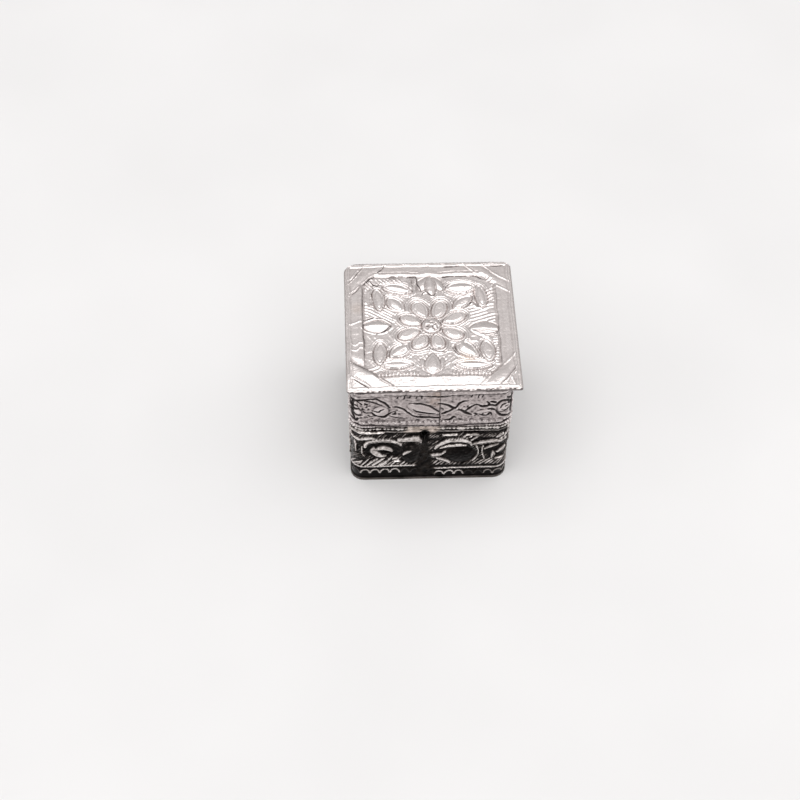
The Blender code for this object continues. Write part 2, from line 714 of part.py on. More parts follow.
def build_body_solder():
    """The ribs in the body's and the collar's seams, and the runs inside the body's wall."""
    hole_bottom = WALL_TOP - SEAM_HOLE_DROP - SEAM_HOLE_RADIUS
    collar_edge = COLLAR_TOP - COLLAR_SHEET / 2
    width = BODY_WIDTH - 2 * WALL_SHEET
    depth = BODY_DEPTH - 2 * WALL_SHEET
    radius = BODY_CORNER_RADIUS - WALL_SHEET
    return [
        seam_solder(
            "body_seam_solder", BODY_SEAM_X, -BODY_DEPTH / 2, WALL_SHEET, WALL_BOTTOM, hole_bottom
        ),
        seam_solder(
            "collar_seam_solder",
            COLLAR_SEAM_X,
            COLLAR_DEPTH / 2,
            COLLAR_SHEET,
            COLLAR_BOTTOM,
            collar_edge,
        ),
        fillet("base_solder", width, depth, radius, BASE_SHEET, 1, FILLET_LEG),
        fillet("collar_solder", width, depth, radius, COLLAR_BOTTOM, -1, COLLAR_FILLET_LEG),
    ]


def carry(pieces, name, place):
    """Puts the pieces under an empty, and leaves them where they are."""
    handle = bpy.data.objects.new(name, None)
    handle.location = place
    bpy.context.scene.collection.objects.link(handle)
    for piece in pieces:
        piece.parent = handle
        piece.matrix_parent_inverse = Matrix.Translation(-Vector(place))


def main():
    for old in list(bpy.data.objects):
        bpy.data.objects.remove(old, do_unlink=True)
    plate = build_lid_top_plate()
    plate_and_shapes = list(bpy.data.objects)
    lid = [plate, build_lid_skirt()] + build_lid_solder()
    box = [build_body_wall(), build_base_plate(), build_inner_collar()] + build_body_solder()
    for made in bpy.data.objects:
        if made not in plate_and_shapes:
            made.location = (WALLS_X, WALLS_Y, 0)
    carry(lid, "lid_travel", (WALLS_X, WALLS_Y, SKIRT_BOTTOM))
    carry(box, "box_foot", (0, 0, 0))


main()
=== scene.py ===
"""The looks of a small square silver kumkum box: its embossed sheets, solder, studio and camera.

Sizes and places are in millimetres unless a comment says otherwise. Each embossed sheet is a grid
of heights, drawn with outlines and lines, and then bent to the place of the CAD node it replaces.
"""

import math

import bpy
import numpy as np
from mathutils import Matrix, Vector


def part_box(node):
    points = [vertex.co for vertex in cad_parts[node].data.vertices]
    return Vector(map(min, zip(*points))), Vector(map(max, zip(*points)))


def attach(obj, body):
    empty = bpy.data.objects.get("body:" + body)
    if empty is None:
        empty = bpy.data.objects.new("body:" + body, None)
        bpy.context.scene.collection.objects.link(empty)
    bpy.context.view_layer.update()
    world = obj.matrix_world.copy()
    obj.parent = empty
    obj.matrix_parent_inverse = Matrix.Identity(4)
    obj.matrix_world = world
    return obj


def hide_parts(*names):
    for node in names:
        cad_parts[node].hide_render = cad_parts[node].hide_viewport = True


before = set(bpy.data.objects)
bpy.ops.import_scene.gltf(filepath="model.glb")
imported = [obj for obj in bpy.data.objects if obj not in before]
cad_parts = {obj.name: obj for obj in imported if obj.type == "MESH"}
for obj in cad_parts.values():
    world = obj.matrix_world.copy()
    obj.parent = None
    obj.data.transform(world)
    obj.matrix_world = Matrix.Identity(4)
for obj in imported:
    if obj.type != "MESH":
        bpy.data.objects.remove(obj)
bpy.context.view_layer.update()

MM = 0.001

# The corners of a square round the middle, one way round.
CORNERS = ((-1, -1), (1, -1), (1, 1), (-1, 1))

# Sheets, and the least that hollows leave of the plate's.
PLATE_SHEET = 0.45
PLATE_LEAST = 0.12
SKIRT_SHEET = 0.5
WALL_SHEET = 0.4

# How far the CAD relief stands out from each wall's plain face, and the walls' corner radii.
SKIRT_CAD_RELIEF = 0.22
WALL_CAD_RELIEF = 0.3
SKIRT_CORNER = 2.11
WALL_CORNER = 1.9

# The collar is bright above it and painted nearly black below, as shade inside the body.
COLLAR_SHOWS = 12.4

# Grids: the spacing of the fine outer face, and how many of its steps one inner step spans.
PLATE_STEP = 0.089
SKIRT_STEP = 0.1
WALL_STEP = 0.115
COARSE = 4

# The seams, measured along the front from the middle of the walls.
SEAM_GAP = 0.12
LID_SEAM = 1.23
BODY_SEAM = -0.85
SEAM_HOLE_RADIUS = 0.42
SEAM_HOLE_DROP = 1.6

# The plate: the rounds of its corners, how far in its line and its panel lie, the panel's cut corners
# and how deep it is sunk.
PLATE_ROUNDS = {(-1, -1): 0.5, (1, -1): 0.25, (1, 1): 1.2, (-1, 1): 1.9}
RIM_INSET = 0.65
PANEL_INSET = 2.8
PANEL_CUT = 1.75
PANEL_SINK = 0.18

# The fold over the front left corner.
FOLD_RISE = 0.32
FOLD_WIDTH = 2.1

# The flower: how far it and its contours reach, the boss's middle and radius, and each petal's middle,
# length, width, turn in degrees and swell.
FLOWER_REACH = 6.6
BOSS = (0.1, -0.23, 1.44)
PETALS = (
    (3.55, 1.25, 3.65, 2.1, 25, 0.2),
    (1.28, 2.98, 3.65, 2.15, 73, 0.15),
    (-1.42, 2.95, 3.65, 2.2, 114, 0.15),
    (-2.92, 0.87, 3.56, 2, 152, 0.28),
    (-3.36, -1.75, 3.4, 2, 204, 0.28),
    (-1.69, -3.3, 3.1, 2.1, 240, 0.22),
    (0.81, -3.3, 3, 2.1, 283, 0.15),
    (3.17, -1.73, 3.1, 2, 334, 0.28),
)

# The leaves round it, in the same terms.
LEAVES = (
    (-4.81, 7.4, 4.42, 2.12, -15, 0.3),
    (-7.63, 5.29, 4.62, 1.9, -86, 0.17),
    (-5.06, 4.19, 3.75, 2.12, -52, 0.24),
    (4.81, 7.35, 4.71, 2.5, 3, 0.34),
    (7.79, 5.67, 4.62, 1.9, -82, 0.22),
    (4.9, 4.5, 3.65, 2.12, 40, 0.16),
    (-5.39, -7.7, 4.81, 1.75, 0, 0.14),
    (-7.69, -5.48, 4.42, 1.95, 88, 0.13),
    (-4.62, -4.9, 4.04, 2.4, 38, 0.22),
    (5.87, -7.9, 5.2, 1.9, -3, 0.3),
    (8.1, -5.19, 4.04, 2.1, -85, 0.1),
    (5.04, -4.81, 4.23, 2.35, -42, 0.36),
)

# The rings along an edge, of a leaf, a petal, the boss and the whole flower: how far in, half width
# and rise.
LEAF_RINGS = ((-0.6, 0.15, 0.05), (-0.3, 0.14, 0.06), (0.15, 0.16, 0.1), (0.4, 0.14, -0.06))
PETAL_RINGS = ((0.12, 0.14, 0.06), (0.34, 0.13, -0.05), (0.52, 0.13, 0.03))
BOSS_RINGS = ((-0.24, 0.15, 0.08), (0.15, 0.14, 0.04), (0.38, 0.13, -0.05))
FLOWER_RINGS = ((-0.24, 0.15, 0.09), (-0.62, 0.2, 0.12), (-0.98, 0.16, 0.06))


def smoothstep(low, high, value):
    """Rises smoothly from 0 at the low value to 1 at the high one."""
    share = np.clip((value - low) / (high - low), 0, 1)
    return share * share * (3 - 2 * share)


def hill(distance, half_width):
    """1 on a line, falling smoothly to 0 at the half width."""
    share = np.clip(1 - (distance / half_width) ** 2, 0, 1)
    return share * share


def soften(values, passes):
    """Blurs a grid with that many passes of a 1-2-1 filter each way."""
    for _ in range(passes):
        for axis in (0, 1):
            padded = np.pad(values, [(1, 1) if n == axis else (0, 0) for n in (0, 1)], "edge")
            before = np.take(padded, range(values.shape[axis]), axis)
            after = np.take(padded, range(2, values.shape[axis] + 2), axis)
            values = (before + 2 * values + after) / 4
    return values


def wander(x, y, size, seed):
    """Smooth random waves of about that size, from -1 to 1."""
    draws = np.random.default_rng(seed).uniform(-1, 1, (64, 64))
    column, row = x / size, y / size
    left, low = np.floor(column).astype(int), np.floor(row).astype(int)
    across, up = column - left, row - low
    across, up = across * across * (3 - 2 * across), up * up * (3 - 2 * up)

    def at(a, b):
        return draws[(low + b) % 64, (left + a) % 64]

    below = at(0, 0) * (1 - across) + at(1, 0) * across
    above = at(0, 1) * (1 - across) + at(1, 1) * across
    return below * (1 - up) + above * up


def leaf(x, y, length, width, turn, pointing=0.5, egg=0.0):
    """The outline of a leaf. Pointing draws in its ends, and egg widens its far half."""
    angles = np.linspace(0, 2 * math.pi, 40, endpoint=False)
    along = length / 2 * np.cos(angles)
    side = width / 2 * np.sin(angles) * (1 - pointing + pointing * np.abs(np.sin(angles)))
    side = side * (1 + egg * np.cos(angles))
    spin = math.radians(turn)
    return [
        (x + a * math.cos(spin) - s * math.sin(spin), y + a * math.sin(spin) + s * math.cos(spin))
        for a, s in zip(along, side)
    ]


def between(b, s, e, a, t):
    """A share t of the way from s to e, on a smooth line that comes from b and goes on to a."""
    return 0.5 * (2 * s + (e - b) * t + (2 * b - 5 * s + 4 * e - a) * t**2 + (3 * s - b - 3 * e + a) * t**3)


def curve(*points, steps=8):
    """A smooth line through the points."""
    ends = [points[0], *points, points[-1]]
    line = []
    for stretch in zip(ends, ends[1:], ends[2:], ends[3:]):
        for step in range(steps):
            line.append(tuple(between(*values, step / steps) for values in zip(*stretch)))
    return line + [tuple(points[-1])]


def arch(x, y, across, up, width, steps=10):
    """A round arch over a middle, as points of place, level and width."""
    angles = [math.radians(180 * (step / steps)) for step in range(steps + 1)]
    return [(x + across * math.cos(angle), y + up * math.sin(angle), width) for angle in angles]


def rectangle(x, y, width):
    """A closed line round the middle, that far from it each way."""
    line = [(sx * x, sy * y, width) for sx, sy in CORNERS]
    return line + line[:1]


def widened(line, factor, extra):
    """A line with its widths scaled, and then made that much wider."""
    return [(x, y, factor * width + extra) for x, y, width in line]


def to_segment(x, y, start, end):
    """How far along a straight piece each place lies, as a share, and how far from it."""
    (ax, ay), (bx, by) = start[:2], end[:2]
    dx, dy = bx - ax, by - ay
    share = np.clip(((x - ax) * dx + (y - ay) * dy) / max(dx * dx + dy * dy, 1e-12), 0, 1)
    return share, np.hypot(x - ax - share * dx, y - ay - share * dy)


class Relief:
    """A sheet's outer face as a grid of places, with a height, a darkness and a brown stain at each."""

    def __init__(self, across, up, wobble=0.07, seed=1):
        self.across, self.up = across, up
        x, y = np.meshgrid(across, up)
        self.plain_x, self.plain_y = x, y
        self.x = x + wobble * wander(x, y, 1.7, seed)
        self.y = y + wobble * wander(x, y, 1.7, seed + 1) + 0.4 * wobble * wander(x, y, 0.6, seed + 2)
        self.height = np.zeros(x.shape)
        self.dark = np.zeros(x.shape)
        self.stain = np.zeros(x.shape)

    def window(self, points, margin):
        """The part of the grid round the points."""
        xs, ys = [p[0] for p in points], [p[1] for p in points]
        columns = np.searchsorted(self.across, (min(xs) - margin, max(xs) + margin))
        rows = np.searchsorted(self.up, (min(ys) - margin, max(ys) + margin))
        return slice(*rows), slice(*columns)

    def settle(self, part, level, cover):
        """Draws the heights towards a level, all the way where the cover is 1."""
        self.height[part] += (level - self.height[part]) * cover

    def tint(self, part, dark, cover):
        """Draws the darkness towards a value, all the way where the cover is 1."""
        self.dark[part] += (dark - self.dark[part]) * cover

    def darken(self, part, dark):
        """Makes each place at least that dark."""
        self.dark[part] = np.maximum(self.dark[part], dark)

    def distance(self, part, outline):
        """How far each place is from an outline, below 0 outside it."""
        x, y = self.x[part], self.y[part]
        nearest = np.full(x.shape, 99.0)
        inside = np.zeros(x.shape, bool)
        for start, end in zip(outline, outline[1:] + outline[:1]):
            nearest = np.minimum(nearest, to_segment(x, y, start, end)[1])
            (ax, ay), (bx, by) = start, end
            if ay != by:
                crosses = (ay > y) != (by > y)
                inside ^= crosses & (x < ax + (y - ay) * (bx - ax) / (by - ay))
        return np.where(inside, nearest, -nearest)

    def emboss(self, outline, rise, reach, level=0.0, fullness=1.8, ink=0.0, groove=0.1):
        """Raises the inside of an outline as a pillow, with a groove round it."""
        part = self.window(outline, 0.8)
        inside = self.distance(part, outline)
        cover = smoothstep(-0.05, 0.07, inside)
        swell = rise * (1 - (1 - np.clip(inside / reach, 0, 1)) ** fullness)
        self.settle(part, level + swell, cover)
        self.dark[part] *= 1 - cover
        edge = hill(inside + 0.06, 0.15)
        self.height[part] -= groove * edge
        uneven = 0.65 + 0.5 * wander(self.x[part], self.y[part], 0.9, 22)
        self.darken(part, ink * edge * uneven)
        return part, inside

    def rings(self, part, inside, rings):
        """Raises or lowers rings along an outline: how far in, half width and rise of each."""
        for place, half_width, rise in rings:
            self.height[part] += rise * hill(inside - place, half_width)

    def brush(self, line):
        """The grid's part round a line of (x, y, width) points, and how deep each place lies in the
        line, from 0 at its edge to 1 at its middle."""
        part = self.window(line, max(point[2] for point in line) / 2)
        depth = np.zeros(self.x[part].shape)
        for start, end in zip(line, line[1:]):
            share, far = to_segment(self.x[part], self.y[part], start, end)
            width = start[2] + (end[2] - start[2]) * share
            depth = np.maximum(depth, 1 - far / (width / 2))
        return part, depth

    def ridge(self, line, rise, level=None, clean=0.0, fullness=2):
        """Raises a line, flatter with more fullness. It hides what lies under it where it has a
        level of its own."""
        part, depth = self.brush(line)
        crest = 1 - (1 - depth) ** fullness
        cover = smoothstep(0, 0.35, depth)
        if level is None:
            self.height[part] += rise * crest
        else:
            self.settle(part, level + rise * crest, cover)
        self.dark[part] *= 1 - clean * cover

    def cut(self, line, deep, ink):
        """Cuts a line into the face and darkens it."""
        part, depth = self.brush(line)
        low = smoothstep(0, 0.8, depth)
        self.height[part] -= deep * low
        uneven = 0.95 + 0.25 * wander(self.x[part], self.y[part], 0.5, 25)
        self.darken(part, ink * uneven * smoothstep(0, 0.6, depth))

    def course(self, level, width, rise, clean=0.0, ink=0.0):
        """Raises a line, or cuts one where the rise is below 0, right along the sheet."""
        crest = hill(self.y - level, width / 2)
        self.height += rise * crest
        self.dark *= 1 - clean * crest
        self.darken(..., ink * crest)

    def bead(self, x, y, radius, rise, clean=0.0):
        """Adds one small round bead."""
        part = self.window([(x, y)], radius)
        crest = hill(np.hypot(self.x[part] - x, self.y[part] - y), radius)
        self.height[part] += rise * crest
        self.dark[part] *= 1 - clean * crest


def plate_relief(relief):
    """The lid's top: border, ribbons, sunk panel, flower, leaves and buds."""
    half_x, half_y = relief.across[-1], relief.up[-1]
    rim_x, rim_y = half_x - RIM_INSET, half_y - RIM_INSET
    panel_x, panel_y = half_x - PANEL_INSET, half_y - PANEL_INSET
    x, y = relief.x, relief.y

    # How far each place lies beyond the front left ribbon's upper line.
    (start_x, start_y, _), (end_x, end_y, _) = RIBBONS[2][0][0], RIBBONS[2][0][-1]
    span = math.hypot(end_x - start_x, end_y - start_y)
    beyond = ((x - start_x) * (end_y - start_y) - (y - start_y) * (end_x - start_x)) / span
    folded = smoothstep(-0.35, 0.45, beyond)

    # The border's strips lean outwards, most of all the front one.
    relief.height += 0.035 * wander(x, y, 5.0, 11) + 0.012 * wander(x, y, 1.3, 12)
    lean = 1 - 0.8 * smoothstep(6.4, 7.6, x + 0.6 * (y + panel_y))
    relief.height += 0.2 * lean * smoothstep(panel_y - 1.2, panel_y, -y) * (1 - 0.9 * folded)
    # Painted shade darkens the back strip, and a painted highlight lightens the leaning front strip.
    relief.dark += 0.1 * smoothstep(panel_y, panel_y + 0.5, y)
    relief.dark -= 0.12 * lean * smoothstep(panel_y, panel_y + 0.5, -y)
    strips = [(-y - panel_y, (0.42 - 0.1 * folded) * lean), (y - panel_y, 0.03)]
    strips += [(-x - panel_x, 0.07), (x - panel_x, 0.1)]
    for side, drop in strips:
        relief.height -= drop * np.clip(side / PANEL_INSET, 0, 1)
    edge = np.minimum(half_x - np.abs(relief.plain_x), half_y - np.abs(relief.plain_y))
    notches = 0.5 + 0.5 * np.cos(2 * math.pi * (x + y) / 0.55)
    relief.height -= (0.06 + 0.05 * notches) * (1 - smoothstep(0, 0.3, edge)) ** 2
    front = 1 - smoothstep(0.22, 0.36, half_y + relief.plain_y)
    relief.dark += front * (0.65 + 0.9 * wander(x, 3 * y, 0.32, 23))

    # The front left ribbon is a fold that leans forwards, and the left strip dips towards it.
    inland = smoothstep(-half_x + 0.3, -half_x + 1.1, x)
    relief.height += FOLD_RISE * inland * folded * np.clip(1 - beyond / FOLD_WIDTH, 0, 1)
    left_strip = smoothstep(-panel_x + 0.2, -panel_x - 0.3, x)
    dip = smoothstep(-1.5, -0.3, beyond) * smoothstep(0.2, -0.3, beyond) * left_strip
    relief.height -= 0.16 * inland * dip

    # Ribbons across the corners: a band between two pairs of fine lines.
    for band in RIBBONS:
        outline = [point[:2] for point in band[0] + band[1][::-1]]
        part = relief.window(outline, 0.5)
        inside = relief.distance(part, outline)
        relief.height[part] += 0.07 * smoothstep(0, 0.9, inside)
        for line in band:
            relief.ridge(line, 0.11)
            relief.cut([(px - 0.1, py - 0.16, 0.16) for px, py, _ in line], 0.05, 0.4)
    for line in CREASES:
        relief.ridge(curve(*line, steps=4), 0.07)

    # The line round the face, with a finer one outside it and a cut one inside.
    relief.ridge(rectangle(rim_x, rim_y, 0.34), 0.1, clean=0.5)
    relief.ridge(rectangle(rim_x + 0.36, rim_y + 0.36, 0.2), 0.04, clean=0.5)
    relief.cut(rectangle(rim_x - 0.3, rim_y - 0.3, 0.2), 0.03, 0.15)

    # The panel, sunk by a slope, and the strokes on its floor.
    corners = []
    for sx, sy in CORNERS:
        pair = [(sx * (panel_x - PANEL_CUT), sy * panel_y), (sx * panel_x, sy * (panel_y - PANEL_CUT))]
        corners += pair if sx * sy < 0 else pair[::-1]
    part = relief.window(corners, 1.0)
    inside = relief.distance(part, corners)
    floor = smoothstep(-0.45, 0.15, inside)
    relief.settle(part, -PANEL_SINK, floor)
    relief.dark[part] += 0.09 * (1 - floor)
    relief.darken(part, 0.25 * hill(inside - 0.12, 0.16))
    relief.height[part] += 0.02 * wander(x[part], y[part], 0.45, 13) * floor
    grainy = smoothstep(-1.5, -5.0, y[part]) * floor
    relief.height[part] += 0.02 * wander(x[part], y[part], 0.24, 18) * grainy
    for zone, turn, spacing, rise, ink in HATCHES:
        strokes(relief, zone, turn, spacing, rise, ink)
    for line in FLOOR_LINES:
        relief.ridge(curve(*line, steps=4), 0.1)
    for turn in range(-52, 53, 8):
        angle = math.radians(90 + turn)
        aim = math.cos(angle), math.sin(angle)
        fan = [(FAN_MIDDLE[0] + reach * aim[0], FAN_MIDDLE[1] + reach * aim[1], 0.3) for reach in FAN_REACH]
        relief.ridge(fan, 0.035)
    for first, last in TEETH:
        for place in np.arange(first, last, 0.52):
            relief.ridge([(place, -9.6, 0.36), (place, -9.1, 0.36)], 0.2, clean=0.5)
    for first, last in DASHES:
        relief.cut([(first, 9.75, 0.2), ((first + last) / 2, 9.75, 0.32), (last, 9.75, 0.1)], 0.06, 0.45)

    level = -PANEL_SINK
    for x0, y0, length, width, turn, swell in LEAVES:
        shape = leaf(x0, y0, length, width, turn, pointing=0.4)
        raised = relief.emboss(
            shape, swell, width / 2, level + 0.06, fullness=1.25, ink=0.45, groove=0.08
        )
        relief.rings(*raised, LEAF_RINGS)
    buds(relief, level)
    flower(relief, level)
    for ink, line in INK_LINES:
        relief.cut(curve(*line, steps=4), 0.05, ink)
    relief.height += 0.014 * wander(x, y, 0.7, 14) + 0.012 * wander(x, y, 0.3, 15)
    relief.height += 0.006 * wander(x, y, 0.17, 16)
    relief.dark += 0.05 * wander(x, y, 0.22, 20)


# The ribbons' lines, as pairs of lines of x, y and width, from the back left corner clockwise.
RIBBONS = (
    (
        ((-12.05, 8.4, 0.25), (-10.8, 10.1, 0.25), (-9.8, 12.05, 0.25)),
        ((-12.05, 5.9, 0.25), (-10.2, 8.1, 0.35), (-9, 9.6, 0.35), (-7.6, 10.6, 0.3), (-6.7, 12.05, 0.3)),
    ),
    (
        ((8.4, 12.05, 0.3), (9, 11.4, 0.35), (9.7, 10.4, 0.35), (10.5, 9.8, 0.5), (12.05, 8.7, 0.4)),
        ((5.5, 12.05, 0.3), (6.9, 10.6, 0.4), (9, 8.8, 0.6), (10.3, 7.7, 0.5), (12.05, 6.3, 0.35)),
    ),
    (
        ((-12.05, -7.1, 0.4), (-10.4, -8.2, 0.4), (-8.6, -9.7, 0.35), (-7.2, -10.9, 0.25),
         (-5.7, -12.05, 0.25)),
        ((-11.9, -9.9, 0.25), (-10.2, -11.1, 0.25), (-9, -12.05, 0.25)),
    ),
    (
        ((12.05, -5.8, 0.35), (10, -8.4, 0.35), (8.2, -10.2, 0.3), (6.3, -12.05, 0.3)),
        ((12.05, -8.4, 0.3), (11.2, -9.8, 0.4), (10.2, -11.2, 0.4), (9.4, -12.05, 0.3)),
    ),
)

# Single creases beside the ribbons and on the left strip, and two nicks in the front one.
CREASES = (
    ((-11.7, 9.4, 0.2), (-11, 10.6, 0.24), (-10.3, 12, 0.2)),
    ((-11.9, 6.6, 0.2), (-11, 7.4, 0.3), (-10.4, 7.9, 0.2)),
    ((-11.7, -10.4, 0.2), (-10.8, -11.1, 0.26), (-9.7, -12, 0.2)),
    ((11.9, -9.4, 0.3), (11, -11, 0.3), (10.6, -12, 0.2)),
    ((11.2, -10.3, 0.3), (11.7, -11.8, 0.2)),
    ((6.9, -10.2, 0.24), (6.95, -10.9, 0.16)),
    ((7.3, -10.3, 0.24), (7.2, -11.2, 0.16)),
    ((-11.9, 0.3, 0.4), (-11.1, 0.6, 0.4), (-10.6, 0.9, 0.4), (-10.1, 1, 0.6)),
    ((-11.9, -3.5, 0.2), (-11.3, -3.9, 0.3), (-10.8, -3.4, 0.2), (-10.2, -3.5, 0.24)),
    ((-11.9, -4.8, 0.2), (-11.2, -4.9, 0.26), (-10.6, -4.3, 0.2), (-10.2, -4.4, 0.2)),
    ((-12.4, -9.5, 0.12), (-12.45, 0, 0.16), (-12.4, 9.5, 0.12)),
    ((-12.1, 9.2, 0.16), (-11.3, 10.2, 0.2), (-10.5, 11.4, 0.16)),
)

# Dark drawn lines: how dark each is, and its points of x, y and width.
INK_LINES = (
    (1, ((-11.6, -10.3, 0.2), (-10.7, -11.1, 0.34), (-9.6, -12.05, 0.28))),
    (0.7, ((-11.4, -9.8, 0.14), (-10.2, -10.7, 0.2), (-9, -11.8, 0.14))),
    (0.8, ((-8.4, -9.9, 0.14), (-7.2, -10.9, 0.22), (-5.8, -12, 0.16))),
    (0.7, ((-11.8, -7.2, 0.2), (-10.6, -8.1, 0.3), (-9.4, -8.9, 0.3), (-8.6, -9.7, 0.2))),
    (0.8, ((-8, 10.4, 0.14), (-7.1, 11.2, 0.3), (-6.6, 12, 0.2))),
    (0.7, ((-11.7, 6.2, 0.14), (-10.9, 7, 0.22), (-10.2, 7.9, 0.14))),
    (0.7, ((-11.8, 8.9, 0.14), (-11, 10.1, 0.2), (-9.9, 12, 0.16))),
    (1, ((2.4, 11.85, 0.14), (3.6, 11.83, 0.24), (5, 11.85, 0.14))),
    (1, ((9.6, 11.85, 0.16), (10.6, 11.83, 0.3), (11.5, 11.9, 0.16))),
    (0.7, ((-8.4, 10.62, 0.12), (-5, 10.68, 0.2), (-1.4, 10.6, 0.12))),
    (0.6, ((1.4, 10.62, 0.12), (4.5, 10.7, 0.2), (7.6, 10.62, 0.12))),
    (0.6, ((-9.98, 8, 0.16), (-10.02, 4.5, 0.34), (-9.98, 0.4, 0.26), (-10, -3, 0.34), (-9.96, -8, 0.2))),
    (0.4, ((10, 7.4, 0.16), (10.04, 2, 0.26), (10, -7.6, 0.2))),
    (0.9, ((-9.9, 8.2, 0.16), (-9.4, 8.8, 0.3), (-8.9, 9.4, 0.26), (-8.2, 9.9, 0.14))),
    (1, ((-8.9, 9.1, 0.16), (-8.3, 8.5, 0.34), (-7.8, 8.2, 0.3), (-7.1, 8.25, 0.16))),
    (0.8, ((-9.2, 8.6, 0.14), (-8.7, 8.1, 0.24), (-8.2, 7.7, 0.14))),
    (1, ((-5.8, 9.88, 0.16), (-5.3, 9.9, 0.3), (-4.8, 9.88, 0.16))),
    (0.8, ((-4.5, 9.95, 0.14), (-4.1, 9.95, 0.24), (-3.8, 9.95, 0.14))),
    (1, ((-3.1, 9.9, 0.16), (-2.4, 9.9, 0.3), (-1.8, 9.9, 0.24), (-1.65, 8.9, 0.26))),
    (1, ((-1.65, 8.9, 0.26), (-1.6, 8.2, 0.26), (-1.3, 7.2, 0.3), (-1.25, 6.9, 0.14))),
    (0.7, ((-2.5, 9.3, 0.14), (-2.4, 8.4, 0.22), (-2.45, 7.4, 0.14))),
    (1, ((2.1, 9.85, 0.16), (2.9, 9.85, 0.32), (3.9, 9.85, 0.18))),
    (0.9, ((4.2, 9.87, 0.14), (5, 9.87, 0.28), (5.8, 9.87, 0.14))),
    (0.9, ((6.3, 9.95, 0.14), (7.2, 9.8, 0.24), (7.9, 9.35, 0.3), (8.4, 9.2, 0.14))),
    (1, ((-1.15, 6.1, 0.16), (-0.95, 6.5, 0.26), (-0.5, 6.7, 0.3), (0, 6.25, 0.26), (0.4, 5.9, 0.26),
         (0.75, 5.95, 0.26), (0.95, 6.5, 0.14))),
    (0.5, ((5.1, 3.1, 0.14), (5.6, 3.8, 0.24), (6.4, 4.5, 0.26), (7.1, 3.9, 0.26), (8, 3.2, 0.14))),
    (0.8, ((-9.9, 1.1, 0.2), (-8.5, 1.55, 0.3), (-6.9, 1.2, 0.28), (-5.9, 0.4, 0.2))),
    (0.8, ((-8.2, -1.75, 0.16), (-6.9, -1, 0.28), (-6, 0, 0.18))),
    (0.7, ((7.1, -1.75, 0.14), (8.2, -1.9, 0.26), (9, -1.75, 0.2), (9.8, -1.4, 0.14))),
    (0.8, ((-0.6, -4.8, 0.14), (0, -4.6, 0.24), (0.6, -5.1, 0.26), (1.6, -5.3, 0.26), (2.6, -5, 0.14))),
    (0.7, ((-3.1, -4.9, 0.14), (-2.6, -5.4, 0.24), (-1.4, -5, 0.2), (-0.6, -4.8, 0.14))),
    (0.9, ((3, -4.6, 0.16), (3.4, -5.3, 0.32), (3.9, -6, 0.16))),
    (0.7, ((6.7, -8.6, 0.12), (7.3, -8.4, 0.24), (7.8, -8.1, 0.12))),
    (0.7, ((9.7, -11.7, 0.2), (10.6, -10.6, 0.36), (11.3, -9.6, 0.3), (11.8, -8.8, 0.2))),
)

# Zones of parallel strokes on the panel's floor: left, right, low and high, turn, spacing, rise
# and how dark it is between them.
HATCHES = (
    ((-9.8, -3.8, 0.6, 4.8), -34, 0.5, 0.12, 0.5),
    ((5, 9.8, 0.2, 4.4), 20, 0.62, 0.1, 0.2),
    ((-3.4, -1.5, 5.4, 9.6), 86, 0.42, 0.1, 0.5),
    ((1.5, 2.9, 4.9, 9.4), 84, 0.4, 0.08, 0.3),
    ((-9.8, -8.4, 3.6, 9.2), -45, 0.5, 0.18, 0.3),
    ((8.9, 9.8, -8.2, -2.6), 3, 0.55, 0.12, 0.2),
    ((-9, -3.2, 8.3, 9.7), -50, 0.5, 0.12, 0.5),
    ((8.6, 9.8, 4.6, 9.6), 35, 0.55, 0.17, 0.2),
    ((-9.6, -5.2, -3.2, -0.8), -62, 0.7, 0.05, 0.1),
    ((4.9, 8.6, -3.8, -1.7), -6, 0.55, 0.13, 0.25),
)

# Single lines on the floor, by the buds and between the leaves: points of x, y and width.
FLOOR_LINES = (
    ((-0.95, 6.4, 0.3), (-0.5, 6.6, 0.34), (0, 6.3, 0.34), (0.3, 5.8, 0.34), (0.75, 5.9, 0.3),
     (0.95, 6.7, 0.2)),
    ((-1.75, 9.8, 0.3), (-1.6, 8.4, 0.36), (-1.35, 7, 0.3)),
    ((1.25, 9, 0.4), (1.2, 7.4, 0.45), (1.3, 5.6, 0.3)),
    ((-8.9, 7.6, 0.24), (-8.75, 6.2, 0.26), (-8.6, 4.2, 0.2)),
    ((5, 3.1, 0.3), (6.3, 4.1, 0.36), (6.9, 3.6, 0.34), (7.8, 3.1, 0.2)),
    ((4, 3.6, 0.2), (5.2, 4, 0.3), (6.2, 4.6, 0.2)),
    ((-6.6, 4.2, 0.24), (-5.9, 3.3, 0.3), (-5, 2.9, 0.2)),
    ((3.1, -4.6, 0.3), (3.4, -5.6, 0.3), (4.4, -6.4, 0.3), (5.6, -6.8, 0.2)),
    ((-8.4, -6.6, 0.26), (-7.8, -7.5, 0.3), (-7, -7.4, 0.2)),
    ((-9.4, -8.6, 0.3), (-8.5, -8.2, 0.4), (-7.8, -7.9, 0.2)),
    ((-8.9, -9, 0.3), (-8.1, -8.7, 0.4), (-7.6, -8.3, 0.2)),
    ((-0.6, -4.9, 0.4), (0, -4.6, 0.5), (1.4, -5.1, 0.5), (2.8, -5.2, 0.2)),
    ((8.7, -2.4, 0.2), (9.3, -1.8, 0.34), (9.7, -2.2, 0.4), (9.65, -3.4, 0.36), (9.6, -4.8, 0.2)),
)

# The fan of strokes behind the front bud: its middle, and where each stroke starts and ends.
FAN_MIDDLE = (-0.1, -9.4)
FAN_REACH = (2.2, 4.4)

# The rows of teeth along the panel's front edge, and the dark dashes along its back one.
TEETH = ((-8, -1.9), (2.9, 8.2))
DASHES = ((-6.3, -4.6), (-3.3, -1.8), (1.9, 3.2), (3.6, 6.4))


